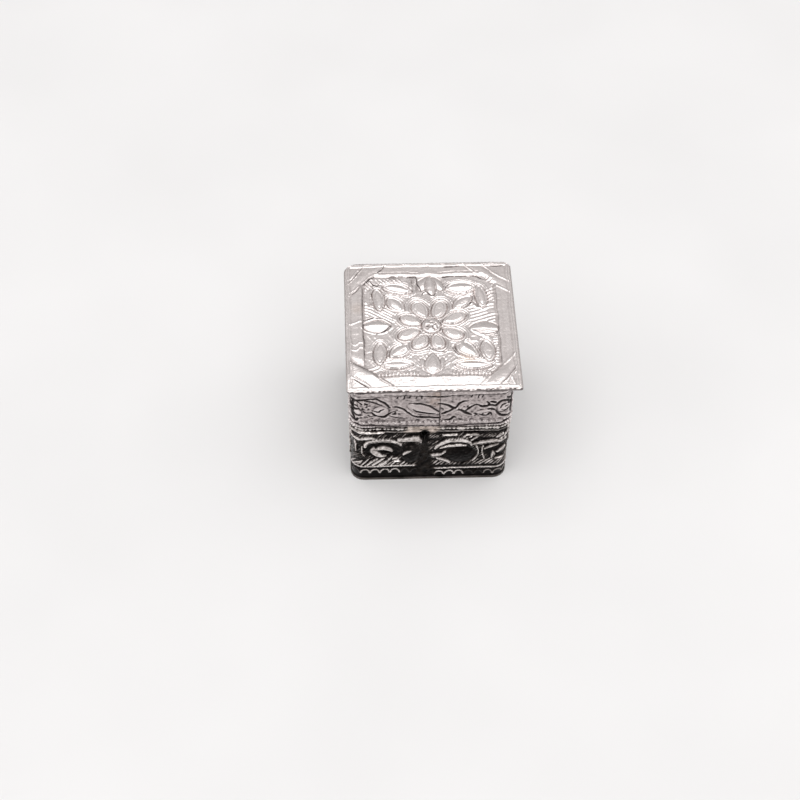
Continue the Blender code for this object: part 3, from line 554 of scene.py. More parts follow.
def strokes(relief, zone, turn, spacing, rise, ink):
    """Fills a zone, given as left, right, low and high, with parallel raised strokes."""
    left, right, low, high = zone
    part = relief.window([(left, low), (right, high)], 0.3)
    x, y = relief.x[part], relief.y[part]
    spin = math.radians(turn)
    across = -x * math.sin(spin) + y * math.cos(spin)
    wave = 0.5 + 0.5 * np.cos(2 * math.pi * across / spacing)
    edge = np.minimum(np.minimum(x - left, right - x), np.minimum(y - low, high - y))
    fade = smoothstep(0, 0.3, edge)
    broken = smoothstep(-0.5, 0.1, wander(x, y, 0.9, 17))
    relief.height[part] += rise * wave**2.5 * fade * broken
    relief.dark[part] += ink * (1 - wave) ** 3 * fade * smoothstep(-0.1, 0.5, wander(x, y, 1.1, 24))


# The four buds at the middle of the panel's edges, leaf by leaf. For each leaf: its middle, length,
# width, turn, pointing and egg, then its rise, reach, fullness, ink and groove, and its rings.
BUDS = (
    ((-8, -0.1, 3.9, 2.4, 0, 0.55, 0), (0.36, 1.2, 1.3, 0.5, 0.07), ((-0.32, 0.18, 0.07),)),
    ((7.9, -0.9, 4.4, 2.9, 180, 0.5, 0), (0.32, 1.4, 1.3, 0.4, 0.07), ()),
    ((-0.75, 8.4, 3, 1.5, -118, 0.4, 0.15), (0.24, 0.75, 1.4, 0.4, 0.07), ()),
    ((1.2, 8.4, 3, 1.5, -62, 0.4, 0.15), (0.24, 0.75, 1.4, 0.4, 0.07), ()),
    ((0.22, 8, 3.9, 1.5, -90, 0.4, 0.15), (0.24, 0.75, 1.4, 0.4, 0.07), ()),
    ((-1.2, -7.9, 3, 1.2, 112, 0.5, 0), (0.14, 0.6, 1.4, 0.3, 0.05), ()),
    ((1, -7.9, 3, 1.2, 68, 0.5, 0), (0.14, 0.6, 1.4, 0.3, 0.05), ()),
    (
        (-0.1, -7.5, 4.1, 2.3, 90, 0.5, -0.25),
        (0.26, 1.1, 1.4, 0.5, 0.07),
        ((-0.3, 0.16, 0.03), (0.16, 0.14, 0.03), (0.4, 0.13, -0.03)),
    ),
)

# The turns of the veins cut into the right bud.
VEINS = (-38, -28, -18, -8)


def buds(relief, level):
    """The buds, and the right one's veins."""
    for shape, (rise, reach, *rest), rings in BUDS:
        relief.rings(*relief.emboss(leaf(*shape), rise, reach, level, *rest), rings)
    for turn in VEINS:
        spin = math.radians(turn)
        line = [(6.0, -1.0, 0.12), (7.6 + 0.6 * math.cos(spin), -0.9 + 2.0 * math.sin(spin), 0.26)]
        relief.cut(line + [(9.8, -0.9 + 3.0 * math.sin(spin), 0.14)], 0.06, 0.45)


def flower(relief, level):
    """Eight petals round a pitted boss, with three raised contours round them all."""
    x0, y0, radius = BOSS
    part = relief.window([(x0, y0)], FLOWER_REACH)
    outer = np.full(relief.x[part].shape, -99.0)
    outlines = [leaf(*petal[:5], pointing=0.12, egg=0.16) for petal in PETALS]
    for outline in outlines:
        outer = np.maximum(outer, relief.distance(part, outline))
    clear = smoothstep(-0.95, -0.6, outer)
    relief.settle(part, level, clear)
    relief.rings(part, outer, FLOWER_RINGS)
    relief.dark[part] *= 1 - clear
    relief.darken(part, 0.35 * hill(outer + 0.42, 0.14))
    for outline, petal in zip(outlines, PETALS):
        raised = relief.emboss(
            outline, petal[5], 0.7, level + 0.08, fullness=1.6, ink=0.42, groove=0.09
        )
        relief.rings(*raised, PETAL_RINGS)
    disc = leaf(x0, y0, 2 * radius, 2 * radius, 0, pointing=0)
    part, inside = relief.emboss(disc, 0.24, 0.8, level + 0.12, fullness=1.6, ink=0.7, groove=0.1)
    relief.rings(part, inside, BOSS_RINGS)
    pits = wander(relief.x[part], relief.y[part], 0.24, 21) * smoothstep(0.2, 0.5, inside)
    relief.height[part] += 0.09 * pits
    relief.darken(part, 0.15 + 0.7 * np.clip(-pits, 0, 1))


def finish_relief(relief, step, base, cavity_gain, crest_gain):
    """Works out the tarnish: dark in hollows and by drawn lines, clean on crests."""
    broad = soften(relief.height, round(2 * (0.35 / step) ** 2))
    hollow = (broad - relief.height) / 0.1
    relief.dark = relief.dark + base + cavity_gain * np.clip(hollow, 0, 1)
    relief.dark -= crest_gain * np.clip(-hollow, 0, 1)
    relief.dark = np.clip(relief.dark, 0, 1)


class Loop:
    """A rounded rectangle seen from above. A place on it is how far along it lies from the middle
    of the front, first towards +X."""

    def __init__(self, width, depth, radius, middle):
        self.radius = radius
        arc = radius * math.pi / 2
        half, side = width / 2 - radius, depth - 2 * radius
        self.lengths = [half, arc, side, arc, 2 * half, arc, side, arc, half]
        self.length = sum(self.lengths)
        self.starts = np.concatenate([[0], np.cumsum(self.lengths)[:-1]])
        here, ahead = np.array([middle[0], middle[1] - depth / 2]), np.array([1.0, 0.0])
        points, aheads = [], []
        for number, length in enumerate(self.lengths):
            points.append(here)
            aheads.append(ahead)
            if number % 2:
                leftward = np.array([-ahead[1], ahead[0]])
                here = here + (ahead + leftward) * radius
                ahead = leftward
            else:
                here = here + ahead * length
        self.points, self.aheads = np.array(points), np.array(aheads)
        first = half + arc + side / 2
        behind = first + side / 2 + arc + half
        self.middles = (0, first, behind, behind + half + arc + side / 2)

    def at(self, along):
        """Points, and the directions that point out of the loop there, as two arrays."""
        rest = np.mod(along, self.length)
        piece = np.clip(np.searchsorted(self.starts, rest, "right") - 1, 0, len(self.lengths) - 1)
        rest = (rest - self.starts[piece])[..., None]
        start, ahead = self.points[piece], self.aheads[piece]
        out = np.stack([ahead[..., 1], -ahead[..., 0]], -1)
        angle = rest / self.radius
        facing = out * np.cos(angle) + ahead * np.sin(angle)
        turns = (piece % 2 == 1)[..., None]
        bent = start + (facing - out) * self.radius
        return np.where(turns, bent, start + ahead * rest), np.where(turns, facing, out)


# Edges that turn by more than this, in degrees, are shaded sharp.
SHARP_ANGLE = 55


def sheet(name, outer, inner, relief, material, inner_dark):
    """A closed sheet from a fine outer grid and a coarse inner one, joined at their borders.
    Each grid is rows by columns by x, y and z. The relief gives the tarnish and the stain."""
    rows, columns = outer.shape[0] - 1, outer.shape[1] - 1
    low_rows, low_columns = inner.shape[0] - 1, inner.shape[1] - 1
    points = np.concatenate([outer.reshape(-1, 3), inner.reshape(-1, 3)]) * MM
    offset = (rows + 1) * (columns + 1)

    def fine(row, column):
        return row * (columns + 1) + column

    def coarse(row, column):
        return offset + row * (low_columns + 1) + column

    def quads(number, row_count, column_count, flip):
        row, column = np.mgrid[0:row_count, 0:column_count]
        corners = [number(row, column), number(row, column + 1)]
        corners += [number(row + 1, column + 1), number(row + 1, column)]
        return np.stack(corners[::-1] if flip else corners, -1).reshape(-1, 4).tolist()

    faces = quads(fine, rows, columns, False) + quads(coarse, low_rows, low_columns, True)
    for number in range(low_columns):
        run = range(number * COARSE, (number + 1) * COARSE + 1)
        faces.append([fine(0, c) for c in run[::-1]] + [coarse(0, number), coarse(0, number + 1)])
        faces.append(
            [fine(rows, c) for c in run] + [coarse(low_rows, number + 1), coarse(low_rows, number)]
        )
    for number in range(low_rows):
        run = range(number * COARSE, (number + 1) * COARSE + 1)
        faces.append([fine(r, 0) for r in run] + [coarse(number + 1, 0), coarse(number, 0)])
        faces.append(
            [fine(r, columns) for r in run[::-1]]
            + [coarse(number, low_columns), coarse(number + 1, low_columns)]
        )
    mesh = bpy.data.meshes.new(name)
    mesh.from_pydata(points.tolist(), [], faces)
    for kind, face, back in (("tarnish", relief.dark, inner_dark), ("stain", relief.stain, 0.0)):
        values = np.concatenate([face.ravel(), np.full(inner.shape[0] * inner.shape[1], back)])
        mesh.attributes.new(kind, "FLOAT", "POINT").data.foreach_set("value", values.astype(np.float32))
    mesh.materials.append(material)
    mesh.shade_smooth()
    mesh.set_sharp_from_angle(angle=math.radians(SHARP_ANGLE))
    made = bpy.data.objects.new(name, mesh)
    bpy.context.scene.collection.objects.link(made)
    return made


def spaced(first, last, step):
    """Even places from the first to the last, in a number of steps that COARSE divides."""
    count = max(1, round((last - first) / step / COARSE)) * COARSE
    return np.linspace(first, last, count + 1)


def plate_grid(across, up, rounds):
    """The places of a flat grid, with its four corners drawn in to rounds."""
    x, y = np.meshgrid(across, up)
    half_x, half_y = across[-1], up[-1]
    for (sx, sy), radius in rounds.items():
        a = np.clip((sx * x - (half_x - radius)) / radius, 0, 1)
        b = np.clip((sy * y - (half_y - radius)) / radius, 0, 1)
        corner = (a > 0) & (b > 0)
        new_a, new_b = a * np.sqrt(1 - b * b / 2), b * np.sqrt(1 - a * a / 2)
        x = np.where(corner, sx * (half_x - radius + new_a * radius), x)
        y = np.where(corner, sy * (half_y - radius + new_b * radius), y)
    return x, y


# Brownish stains on the plate, and how dark its cut edge is.
STAINS = ((-10.8, 3.5), (5.5, -7.0), (4.6, -6.5))
STAIN_RADIUS = 1.6
STAIN_STRENGTH = 0.2
CUT_EDGE_DARK = 0.9

# How much of the relief shows on the plate's underside.
PRESSED_THROUGH = 0.6


def build_plate(material):
    """The embossed plate on the lid, with its relief pressed through to its underside."""
    low, high = (np.array(corner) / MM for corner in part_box("lid_top_plate"))
    half_x, half_y = (high[0] - low[0]) / 2, (high[1] - low[1]) / 2
    across, up = spaced(-half_x, half_x, PLATE_STEP), spaced(-half_y, half_y, PLATE_STEP)
    relief = Relief(across, up, wobble=0.11)
    plate_relief(relief)
    finish_relief(relief, PLATE_STEP, base=0.05, cavity_gain=0.3, crest_gain=0.1)
    for stain_x, stain_y in STAINS:
        distance = np.hypot(relief.x - stain_x, relief.y - stain_y)
        relief.stain += STAIN_STRENGTH * hill(distance, STAIN_RADIUS)
    for border in (relief.dark[0], relief.dark[-1], relief.dark[:, 0], relief.dark[:, -1]):
        border[:] = CUT_EDGE_DARK
    x, y = plate_grid(across, up, PLATE_ROUNDS)
    x[:, 0] -= 0.03 * np.abs(wander(y[:, 0], y[:, 0], 0.5, 61))
    top = low[2] + np.maximum(PLATE_SHEET + relief.height, PLATE_LEAST)
    outer = np.stack([x, y, top], -1)
    pressed = np.clip(soften(relief.height, 12)[::COARSE, ::COARSE], 0, 1)
    under = low[2] + PRESSED_THROUGH * pressed
    inner = np.stack([x[::COARSE, ::COARSE], y[::COARSE, ::COARSE], under], -1)
    plate = sheet("lid_plate_embossed", outer, inner, relief, material, inner_dark=0.9)
    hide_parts("lid_top_plate")
    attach(plate, "lid")


def wall_strip(node, corner, cad_relief, seam, step, seed):
    """The plain loop of a wall's CAD node, and a flat relief for a strip round it, from one side of
    its seam to the other."""
    low, high = (np.array(c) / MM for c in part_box(node))
    width, depth = high[0] - low[0] - 2 * cad_relief, high[1] - low[1] - 2 * cad_relief
    loop = Loop(width, depth, corner, ((low[0] + high[0]) / 2, (low[1] + high[1]) / 2))
    along = spaced(seam + SEAM_GAP / 2, loop.length + seam - SEAM_GAP / 2, step)
    return loop, Relief(along, spaced(low[2], high[2], step), seed=seed)


def round_rims(relief):
    """Lowers a strip's face a little along its lower and upper rim."""
    edge = np.minimum(relief.y - relief.up[0], relief.up[-1] - relief.y)
    relief.height -= 0.08 * (1 - smoothstep(0, 0.16, edge))


# The distance over which the pull at a strip's ends fades.
SEAM_PULL = 0.25


def shift_ends(relief, push):
    """A strip's places, moved inwards near its ends by that much, or outwards where it is below 0."""
    places = relief.plain_x
    start = np.exp(-(places - relief.across[0]) / SEAM_PULL)
    end = np.exp((places - relief.across[-1]) / SEAM_PULL)
    return places + push * (start - end)


def build_wall(name, loop, relief, places, thickness, material, inner_dark):
    """Bends a relief round a loop as a wall, with each of its columns at the places given."""
    points, out = loop.at(places)
    heights = relief.plain_y[..., None]
    outer = np.concatenate([points + out * relief.height[..., None], heights], -1)
    part = (slice(None, None, COARSE), slice(None, None, COARSE))
    inner = np.concatenate([points[part] - out[part] * thickness, heights[part]], -1)
    return sheet(name, outer, inner, relief, material, inner_dark)


# The lid frieze's dark lines on one side: points of place from its middle, level and width.
SKIRT_LINES = (
    ((-12.7, 18.9, 0.3), (-12, 18.5, 0.45), (-11.1, 18.85, 0.42), (-10.2, 19.2, 0.34), (-8.9, 19.4, 0.26)),
    ((-8.9, 19.4, 0.26), (-8.1, 19.35, 0.28), (-7.4, 18.9, 0.32), (-6.7, 18.3, 0.36), (-6.15, 17.4, 0.24)),
    ((-9.7, 19, 0.2), (-8.7, 18.7, 0.26), (-7.8, 18.15, 0.24), (-7.2, 17.8, 0.14)),
    ((-11.75, 18.4, 0.4), (-11.7, 17.3, 0.55), (-11.8, 16.2, 0.6), (-11.6, 15.2, 0.5), (-11.3, 14.7, 0.2)),
    ((-11.5, 17.8, 0.3), (-11, 17.75, 0.3), (-10.7, 17.6, 0.12)),
    ((-11.5, 16.9, 0.3), (-11.1, 16.95, 0.3), (-10.6, 17.2, 0.12)),
    ((-11.1, 18.75, 0.3), (-10.7, 18.65, 0.3)),
    ((-10.5, 18.6, 0.2), (-10.2, 18.3, 0.28)),
    ((-9.75, 18.5, 0.2), (-9.45, 18.25, 0.28)),
    ((-11.4, 15.9, 0.3), (-11, 15.6, 0.3), (-10.45, 15.7, 0.28), (-10.1, 15.85, 0.14)),
    ((-9.95, 16.75, 0.18), (-9.5, 16.3, 0.28), (-8.7, 16.25, 0.26), (-8.3, 15.8, 0.36), (-7.8, 15.6, 0.3)),
    ((-7.8, 15.6, 0.3), (-7.05, 15.4, 0.38), (-6.7, 15.5, 0.36), (-6.3, 15.9, 0.22), (-5.8, 16.4, 0.16)),
    ((-5.8, 16.4, 0.16), (-4.95, 16.8, 0.1)),
    ((-9.25, 15.75, 0.12), (-8.95, 15.45, 0.18), (-8.25, 15.5, 0.12)),
    ((-10.8, 15.05, 0.12), (-10.2, 15.1, 0.18)),
    ((-9.8, 15.15, 0.12), (-9.3, 15.1, 0.16)),
    ((-8.8, 15, 0.16), (-8.5, 14.9, 0.12)),
    ((-8.7, 16.9, 0.12), (-7.75, 16.6, 0.26), (-7.45, 16.9, 0.22), (-6.95, 17.1, 0.12)),
    ((-5.65, 17.6, 0.2), (-5.15, 17.55, 0.3), (-4.55, 17.3, 0.3), (-4, 16.85, 0.26), (-3.6, 16.35, 0.28)),
    ((-3.6, 16.35, 0.28), (-3.05, 15.8, 0.26), (-2.5, 15.4, 0.28), (-1.15, 15.05, 0.36), (1.2, 14.95, 0.3)),
    ((-6.1, 15.65, 0.14), (-5.05, 15.15, 0.22), (-3.65, 14.95, 0.12)),
    ((-3.4, 18.3, 0.12), (-1.95, 18.2, 0.18), (-1.2, 18.05, 0.2), (-0.3, 17.6, 0.22), (1, 16.4, 0.2)),
    ((-2.7, 17, 0.14), (-2.2, 16.6, 0.34), (-1.7, 16.45, 0.36), (-0.3, 15.95, 0.36), (0.5, 15.9, 0.16)),
    ((0.9, 18.2, 0.16), (1.85, 17.95, 0.3), (2.45, 17.7, 0.36), (2.9, 17.4, 0.46), (3.35, 17.2, 0.46)),
    ((3.35, 17.2, 0.34), (3.7, 17.45, 0.28), (4, 18, 0.3), (4.6, 18.55, 0.3), (5.3, 18.65, 0.14)),
    ((3.2, 17.15, 0.34), (2.85, 16.65, 0.3), (2.3, 16.3, 0.36), (1.85, 15.95, 0.36), (1.5, 15.7, 0.2)),
    ((3.6, 16.7, 0.2), (4.2, 16.65, 0.34), (4.65, 16.4, 0.46), (5.1, 15.95, 0.5), (5.9, 15.45, 0.24)),
    ((5.1, 16.5, 0.24), (5.6, 17.05, 0.32), (6.05, 17.5, 0.3), (6.6, 17.8, 0.24), (7.2, 17.55, 0.3)),
    ((1.7, 14.3, 0.12), (2.4, 14.35, 0.26), (2.85, 14.55, 0.34), (3.2, 15, 0.32), (3.65, 14.95, 0.12)),
    ((1.4, 17.15, 0.18), (1.7, 16.85, 0.22)),
    ((3.95, 14.5, 0.12), (4.3, 14.5, 0.2), (4.65, 14.45, 0.12)),
    ((7.05, 17.6, 0.2), (7.35, 17.4, 0.36), (7.9, 17.35, 0.44), (8.4, 17.6, 0.44), (9.3, 17.5, 0.44)),
    ((8, 18.4, 0.18), (8.3, 18, 0.28), (8.35, 17.6, 0.3)),
    ((8.6, 18.35, 0.3), (9.2, 18.25, 0.36)),
    ((8.3, 16.7, 0.24), (8.8, 16.7, 0.36), (9.2, 16.5, 0.26)),
    ((9.35, 17.5, 0.36), (9.7, 18.1, 0.4), (10.3, 18.45, 0.4), (11.15, 18.15, 0.36), (12, 17.4, 0.36)),
    ((11.2, 17.7, 0.2), (11.6, 17.4, 0.36)),
    ((12, 16.4, 0.2), (11.5, 16.4, 0.3), (11, 16.2, 0.3), (10.35, 16.15, 0.26), (9.85, 16.2, 0.12)),
    ((9.4, 16.4, 0.2), (9.7, 15.85, 0.36), (10.15, 15.35, 0.42), (10.7, 15, 0.4), (11.35, 14.7, 0.38)),
    ((11.35, 14.7, 0.38), (12, 14.5, 0.36), (12.7, 14.4, 0.36), (13, 14.9, 0.3)),
    ((10, 17, 0.12), (10.3, 17.65, 0.2), (10.95, 17.75, 0.14)),
    ((10.2, 16.65, 0.1), (10.8, 16.4, 0.18), (11.5, 16.85, 0.12)),
    ((10.75, 17.25, 0.18), (11.15, 17.15, 0.2)),
    ((6.35, 15.75, 0.2), (6.65, 15.6, 0.3)),
    ((7, 15.6, 0.14), (7.55, 15.35, 0.28), (8.1, 15.35, 0.28), (8.6, 15.8, 0.3), (8.85, 15.3, 0.14)),
)

# The frieze's border lines: how dark each is, and its points of place, level and width.
SKIRT_BORDERS = (
    (0.8, ((-11.9, 20.3, 0.36), (-10, 20.85, 0.4), (-7.2, 20.95, 0.3), (-3, 21, 0.16), (3, 21, 0.14))),
    (0.8, ((3, 21, 0.14), (8, 20.95, 0.22), (10.4, 20.8, 0.4), (12, 20.3, 0.46))),
    (0.7, ((-6.9, 20.25, 0.2), (-4.5, 20.1, 0.3), (-0.65, 19.85, 0.3), (1.55, 19.6, 0.34),
           (2.85, 19.85, 0.26))),
    (0.7, ((2.85, 19.85, 0.26), (4, 19.98, 0.24), (6.35, 20, 0.3), (9.35, 20.1, 0.26), (12.3, 20, 0.3))),
    (1, ((-13, 13.7, 0.4), (-10.7, 13.5, 0.42), (-8, 13.27, 0.4), (-5.4, 13.12, 0.36), (0, 13.04, 0.34))),
    (1, ((0, 13.04, 0.34), (4.4, 13.02, 0.36), (5.7, 13.15, 0.36), (8.6, 13.3, 0.4), (13, 13.7, 0.42))),
)

# A raised line down each corner, its colour cleaned bright as a painted highlight, from the front's or the
# back's middle, in the same terms.
SKIRT_CORNER_HIGHLIGHT = (
    (12.5, 21, 0.4), (12.6, 18, 0.5), (12.5, 15.4, 0.5), (12.2, 14.2, 0.4), (11.4, 13.9, 0.2)
)

# Where the notches hang from the band's line, and how far down each reaches.
SKIRT_NOTCHES = (
    (-5, 19.5), (-4.1, 19.3), (-3.3, 19.5), (-2.3, 19.4), (-1.5, 19.3),
    (5.7, 19.5), (6.7, 19.4), (7.3, 19.5)
)

# Rows of beads that go right round: level, spacing, radius and seed.
SKIRT_BEAD_ROWS = ((14.1, 0.6, 0.24, 45), (21.3, 0.44, 0.24, 46))

# The motifs that swell up between the lines: middle, length, width, turn and rise.
SKIRT_MOTIFS = (
    (-10.8, 16.45, 1.2, 1.2, 0, 0.12),
    (-7.4, 16.6, 2.3, 2.1, 0, 0.14),
    (-1.2, 16.9, 5.2, 2.3, -22, 0.13),
    (10.7, 16.9, 2.2, 2.2, 0, 0.14),
    (7.6, 16.2, 2.2, 0.8, 15, 0.08),
)

# Stippled patches: left, right, low and high.
SKIRT_STIPPLES = (
    (-12, -11, 15.2, 19.3),
    (-11, -8.7, 16.8, 18.9),
    (6, 9.2, 15, 17),
    (3.8, 5.6, 16.6, 17.8),
    (-6, -4.4, 15.4, 16.6),
)


def sides(loop, narrowing=1.0):
    """Where each side's middle lies along the loop, and how far its motifs are drawn together. The
    front comes first and last, since the seam parts it, and stays as it is."""
    middles = (*loop.middles, loop.length)
    return [(middle, 1.0 if middle in (0, loop.length) else narrowing) for middle in middles]


def moved(line, middle, narrowing):
    """A side's line of points of place, level and width, at that side's middle."""
    return [(middle + narrowing * x, *rest) for x, *rest in line]


def bead_row(relief, first, last, level, spacing, radius, seed):
    """A row of beads of uneven size, some of them worn away."""
    draws = np.random.default_rng(seed)
    for place in np.arange(first, last, spacing):
        size = draws.uniform(0.5, 1.3)
        shift = draws.uniform(-0.3, 0.3) * spacing
        worn = draws.uniform(0.5, 1.0)
        clean = min(1.0, size * worn + 0.4)
        relief.bead(place + shift, level + 0.4 * shift, radius * size, 0.22 * size, clean)


def skirt_relief(relief, loop):
    """The lid's frieze: a band under the top, scrolls, vine, leaf and crossing, and two bead rows."""
    x, z = relief.x, relief.y
    relief.height += 0.1 * smoothstep(19.8, 20.2, z) + 0.04 * hill(z - 20.8, 0.6)
    uneven = 0.05 * wander(x, z, 1.4, 7) + 0.035 * wander(x, z, 0.5, 9)
    relief.height += uneven + 0.03 * wander(x, z, 0.25, 8)
    relief.dark += 0.08 * wander(x, z, 0.7, 6) + 0.08 * wander(x, z, 0.2, 10)
    relief.course(13.75, 0.6, 0.05, clean=0.2)
    for side in sides(loop, 0.94):
        skirt_side(relief, side)
    # Each corner gets a raised line whose colour is cleaned to a painted highlight.
    for middle in (0, loop.middles[2], loop.length):
        for turn in (-1, 1):
            edge = [(middle + turn * px, pz, width) for px, pz, width in SKIRT_CORNER_HIGHLIGHT]
            relief.ridge(curve(*edge), 0.12, clean=0.75)
    for row in SKIRT_BEAD_ROWS:
        bead_row(relief, LID_SEAM, loop.length + LID_SEAM, *row)


def skirt_side(relief, side):
    """One side's motifs of the lid's frieze."""
    for left, right, low, high in SKIRT_STIPPLES:
        corners = moved(((left, low), (right, low), (right, high), (left, high)), *side)
        part = relief.window(corners, 0.3)
        inside = relief.distance(part, corners)
        dots = wander(relief.x[part], relief.y[part], 0.28, 41)
        cover = smoothstep(0, 0.3, inside)
        relief.height[part] += 0.06 * dots * cover
        relief.dark[part] += 0.5 * smoothstep(-0.1, 0.5, -dots) * cover
    for x, z, length, width, turn, rise in SKIRT_MOTIFS:
        outline = moved(leaf(x, z, length, width, turn, 0.3 if length > 2 * width else 0), *side)
        relief.emboss(outline, rise, width / 2, level=0.02, fullness=1.6, groove=0.03)
    for ink, line in SKIRT_BORDERS:
        relief.cut(moved(curve(*line, steps=6), *side), 0.1, ink)
    for first in (-12.6, 8.2):
        for place in np.arange(first, first + 4.4, 0.42):
            relief.bead(side[0] + side[1] * place, 13.14, 0.27, 0.2, clean=1.0)
    for place, low in SKIRT_NOTCHES:
        relief.cut(moved(((place + 0.1, 19.85, 0.24), (place, low, 0.3)), *side), 0.07, 0.85)
    drawn = [moved(curve(*line, steps=4), *side) for line in SKIRT_LINES]
    for line in drawn:
        relief.ridge(widened(line, 2.4, 0.2), 0.05)
    for line in drawn:
        relief.cut(widened(line, 1.45, 0.06), 0.15, 1.0)


def build_skirt(material):
    """The lid's wall."""
    loop, relief = wall_strip("lid_skirt", SKIRT_CORNER, SKIRT_CAD_RELIEF, LID_SEAM, SKIRT_STEP, 5)
    skirt_relief(relief, loop)
    finish_relief(relief, SKIRT_STEP, base=0.4, cavity_gain=0.8, crest_gain=0.4)
    round_rims(relief)

    # A brown stain beside the seam, whose ends draw together near the top.
    left = LID_SEAM + loop.length - relief.x
    relief.stain = 0.7 * smoothstep(2.8, 0.4, left) * smoothstep(16.5, 19.0, relief.y)
    relief.stain *= 0.5 + 0.5 * wander(relief.x, relief.y, 0.5, 62)
    relief.dark += 0.12 * smoothstep(0.2, 0.06, np.minimum(left, relief.x - LID_SEAM))
    places = shift_ends(relief, (0.02 - SEAM_GAP / 2) * smoothstep(17.5, 18.8, relief.plain_y))
    name = "lid_skirt_embossed"
    skirt = build_wall(name, loop, relief, places, SKIRT_SHEET, material, inner_dark=0.45)
    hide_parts("lid_skirt")
    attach(skirt, "lid")


# The body frieze's bright ridges on one side: points of place from its middle, level and width.
WALL_RIDGES = (
    ((-9.7, 8.2, 0.35), (-9.6, 8.9, 0.5), (-9, 9.35, 0.6), (-8, 9.6, 0.75), (-6.5, 9.65, 0.8),
     (-5.5, 9.45, 0.6)),
    ((-5.5, 9.45, 0.6), (-4.7, 9, 0.5), (-4.3, 8.5, 0.3)),
    ((-10.1, 8.3, 0.2), (-10.2, 7.3, 0.16), (-10.1, 6.5, 0.12), (-9.7, 5.9, 0.1)),
    ((-8.4, 8, 0.3), (-8.5, 7.3, 0.8), (-8.2, 6.7, 1), (-7.7, 6.2, 0.85), (-7.2, 5.95, 0.5),
     (-6.6, 6, 0.25)),
    ((-7.9, 7.65, 0.6), (-7.2, 7.9, 1), (-6.4, 7.75, 0.9), (-5.7, 7.2, 0.4)),
    ((-4.5, 9.7, 0.8), (-3.4, 9.8, 1), (-2.4, 9.85, 1.2), (-1.6, 9.75, 1.3), (-1.15, 9.3, 0.9),
     (-1, 8.7, 0.4)),
    ((-4, 6.2, 0.2), (-3.6, 6.6, 0.5), (-3.2, 6.9, 0.45), (-2.8, 7.1, 0.15)),
    ((0.8, 7.5, 0.3), (1.2, 8.2, 0.5), (2, 8.9, 0.7), (2.9, 9.4, 0.9), (4, 9.5, 1), (5, 9.35, 0.8)),
    ((5, 9.35, 0.8), (5.9, 8.9, 0.5), (6.3, 8.2, 0.3)),
    ((1.5, 7.6, 0.2), (2.5, 8, 0.32), (3.5, 8.15, 0.4), (4.5, 8.2, 0.4), (5.4, 8.15, 0.25)),
    ((-0.4, 5.7, 0.3), (0.2, 5.7, 0.8), (1.2, 5.85, 0.85), (1.8, 6.1, 0.4), (2.3, 6.7, 0.35)),
    ((1.2, 5.2, 0.3), (1.9, 4.8, 0.6), (2.5, 4.4, 0.55), (3.1, 4, 0.2)),
    ((7.05, 7.9, 0.2), (7.3, 6.8, 0.22), (7.2, 5.5, 0.18), (6.6, 4.4, 0.14)),
    ((6.6, 8.5, 0.3), (7.9, 8.8, 0.7), (9.5, 9.1, 0.7), (10.6, 9, 0.5), (11.3, 9.3, 0.35)),
    ((8, 7.9, 0.2), (7.9, 7, 0.22), (8, 6, 0.22), (8.2, 5, 0.16)),
    ((8.2, 7.3, 0.2), (9, 7.75, 0.4), (10.1, 8.3, 0.3)),
    ((9.5, 6.5, 0.3), (9.6, 5.8, 0.55), (9.4, 5.1, 0.3)),
    ((10.1, 6.5, 0.3), (10.8, 6.9, 0.8), (11.2, 7.2, 0.5)),
    ((9.9, 4.85, 0.2), (11.1, 4.85, 0.2)),
    ((-12.2, 11.9, 0.2), (-12.1, 10.5, 0.24), (-11.5, 10.05, 0.3), (-10.5, 10, 0.42), (-9.5, 10.15, 0.6)),
    ((-9.5, 10.15, 0.6), (-8.8, 10.2, 0.5), (-8.2, 10.05, 0.3)),
    ((-12, 11.75, 0.3), (-10, 11.65, 0.36), (-8.6, 11.5, 0.3), (-6.8, 11.6, 0.1)),
    ((-11.3, 9.2, 0.16), (-11.1, 8.5, 0.2), (-11.1, 7, 0.12)),
    ((-9.4, 3.75, 0.2), (-8.6, 4.6, 0.26), (-7.8, 5.3, 0.14)),
    ((-8.6, 3.7, 0.2), (-7.7, 4.6, 0.28), (-6.8, 5.5, 0.14)),
    ((-7.4, 3.65, 0.22), (-6.4, 4.7, 0.3), (-5.6, 5.8, 0.16)),
    ((-5.6, 5.2, 0.14), (-4.8, 5.45, 0.2)),
    ((-5.3, 4.6, 0.12), (-4.4, 4.65, 0.16)),
    ((4.6, 9.9, 0.16), (5.3, 10.4, 0.2)),
    ((5.4, 9.8, 0.16), (6.2, 10.3, 0.2)),
    ((6.2, 9.4, 0.18), (7.2, 10.2, 0.2)),
    ((9.9, 10.1, 0.18), (10.8, 10.6, 0.24)),
    ((10.4, 9.6, 0.2), (11.6, 10.3, 0.26)),
    ((1.9, 10.7, 0.2), (3, 10.75, 0.35), (4, 10.8, 0.2)),
    ((5.3, 10.6, 0.2), (6.8, 10.75, 0.3), (7.3, 10.5, 0.2)),
)

# A ridge whose greatest width lies between these has a drawn line along it.
DOUBLED_RIDGE = (0.52, 0.95)

# The smooth polished ovals, painted black as a painted dark reflection, and the flat grounds round the
# scrolls: middle, length, width and turn.
WALL_OVALS = (
    (-2.8, 6.35, 5.1, 2.9, 90),
    (4.6, 5.8, 4.8, 4, 0),
    (-6.6, 6.6, 1.7, 1.2, 0),
    (10.3, 5.6, 1.2, 0.9, 0),
)
WALL_GROUNDS = ((-6.9, 7.4, 6.2, 4.4, 0), (3.6, 7, 6.4, 5.2, 0), (9.9, 6.9, 4.6, 3.6, 90))

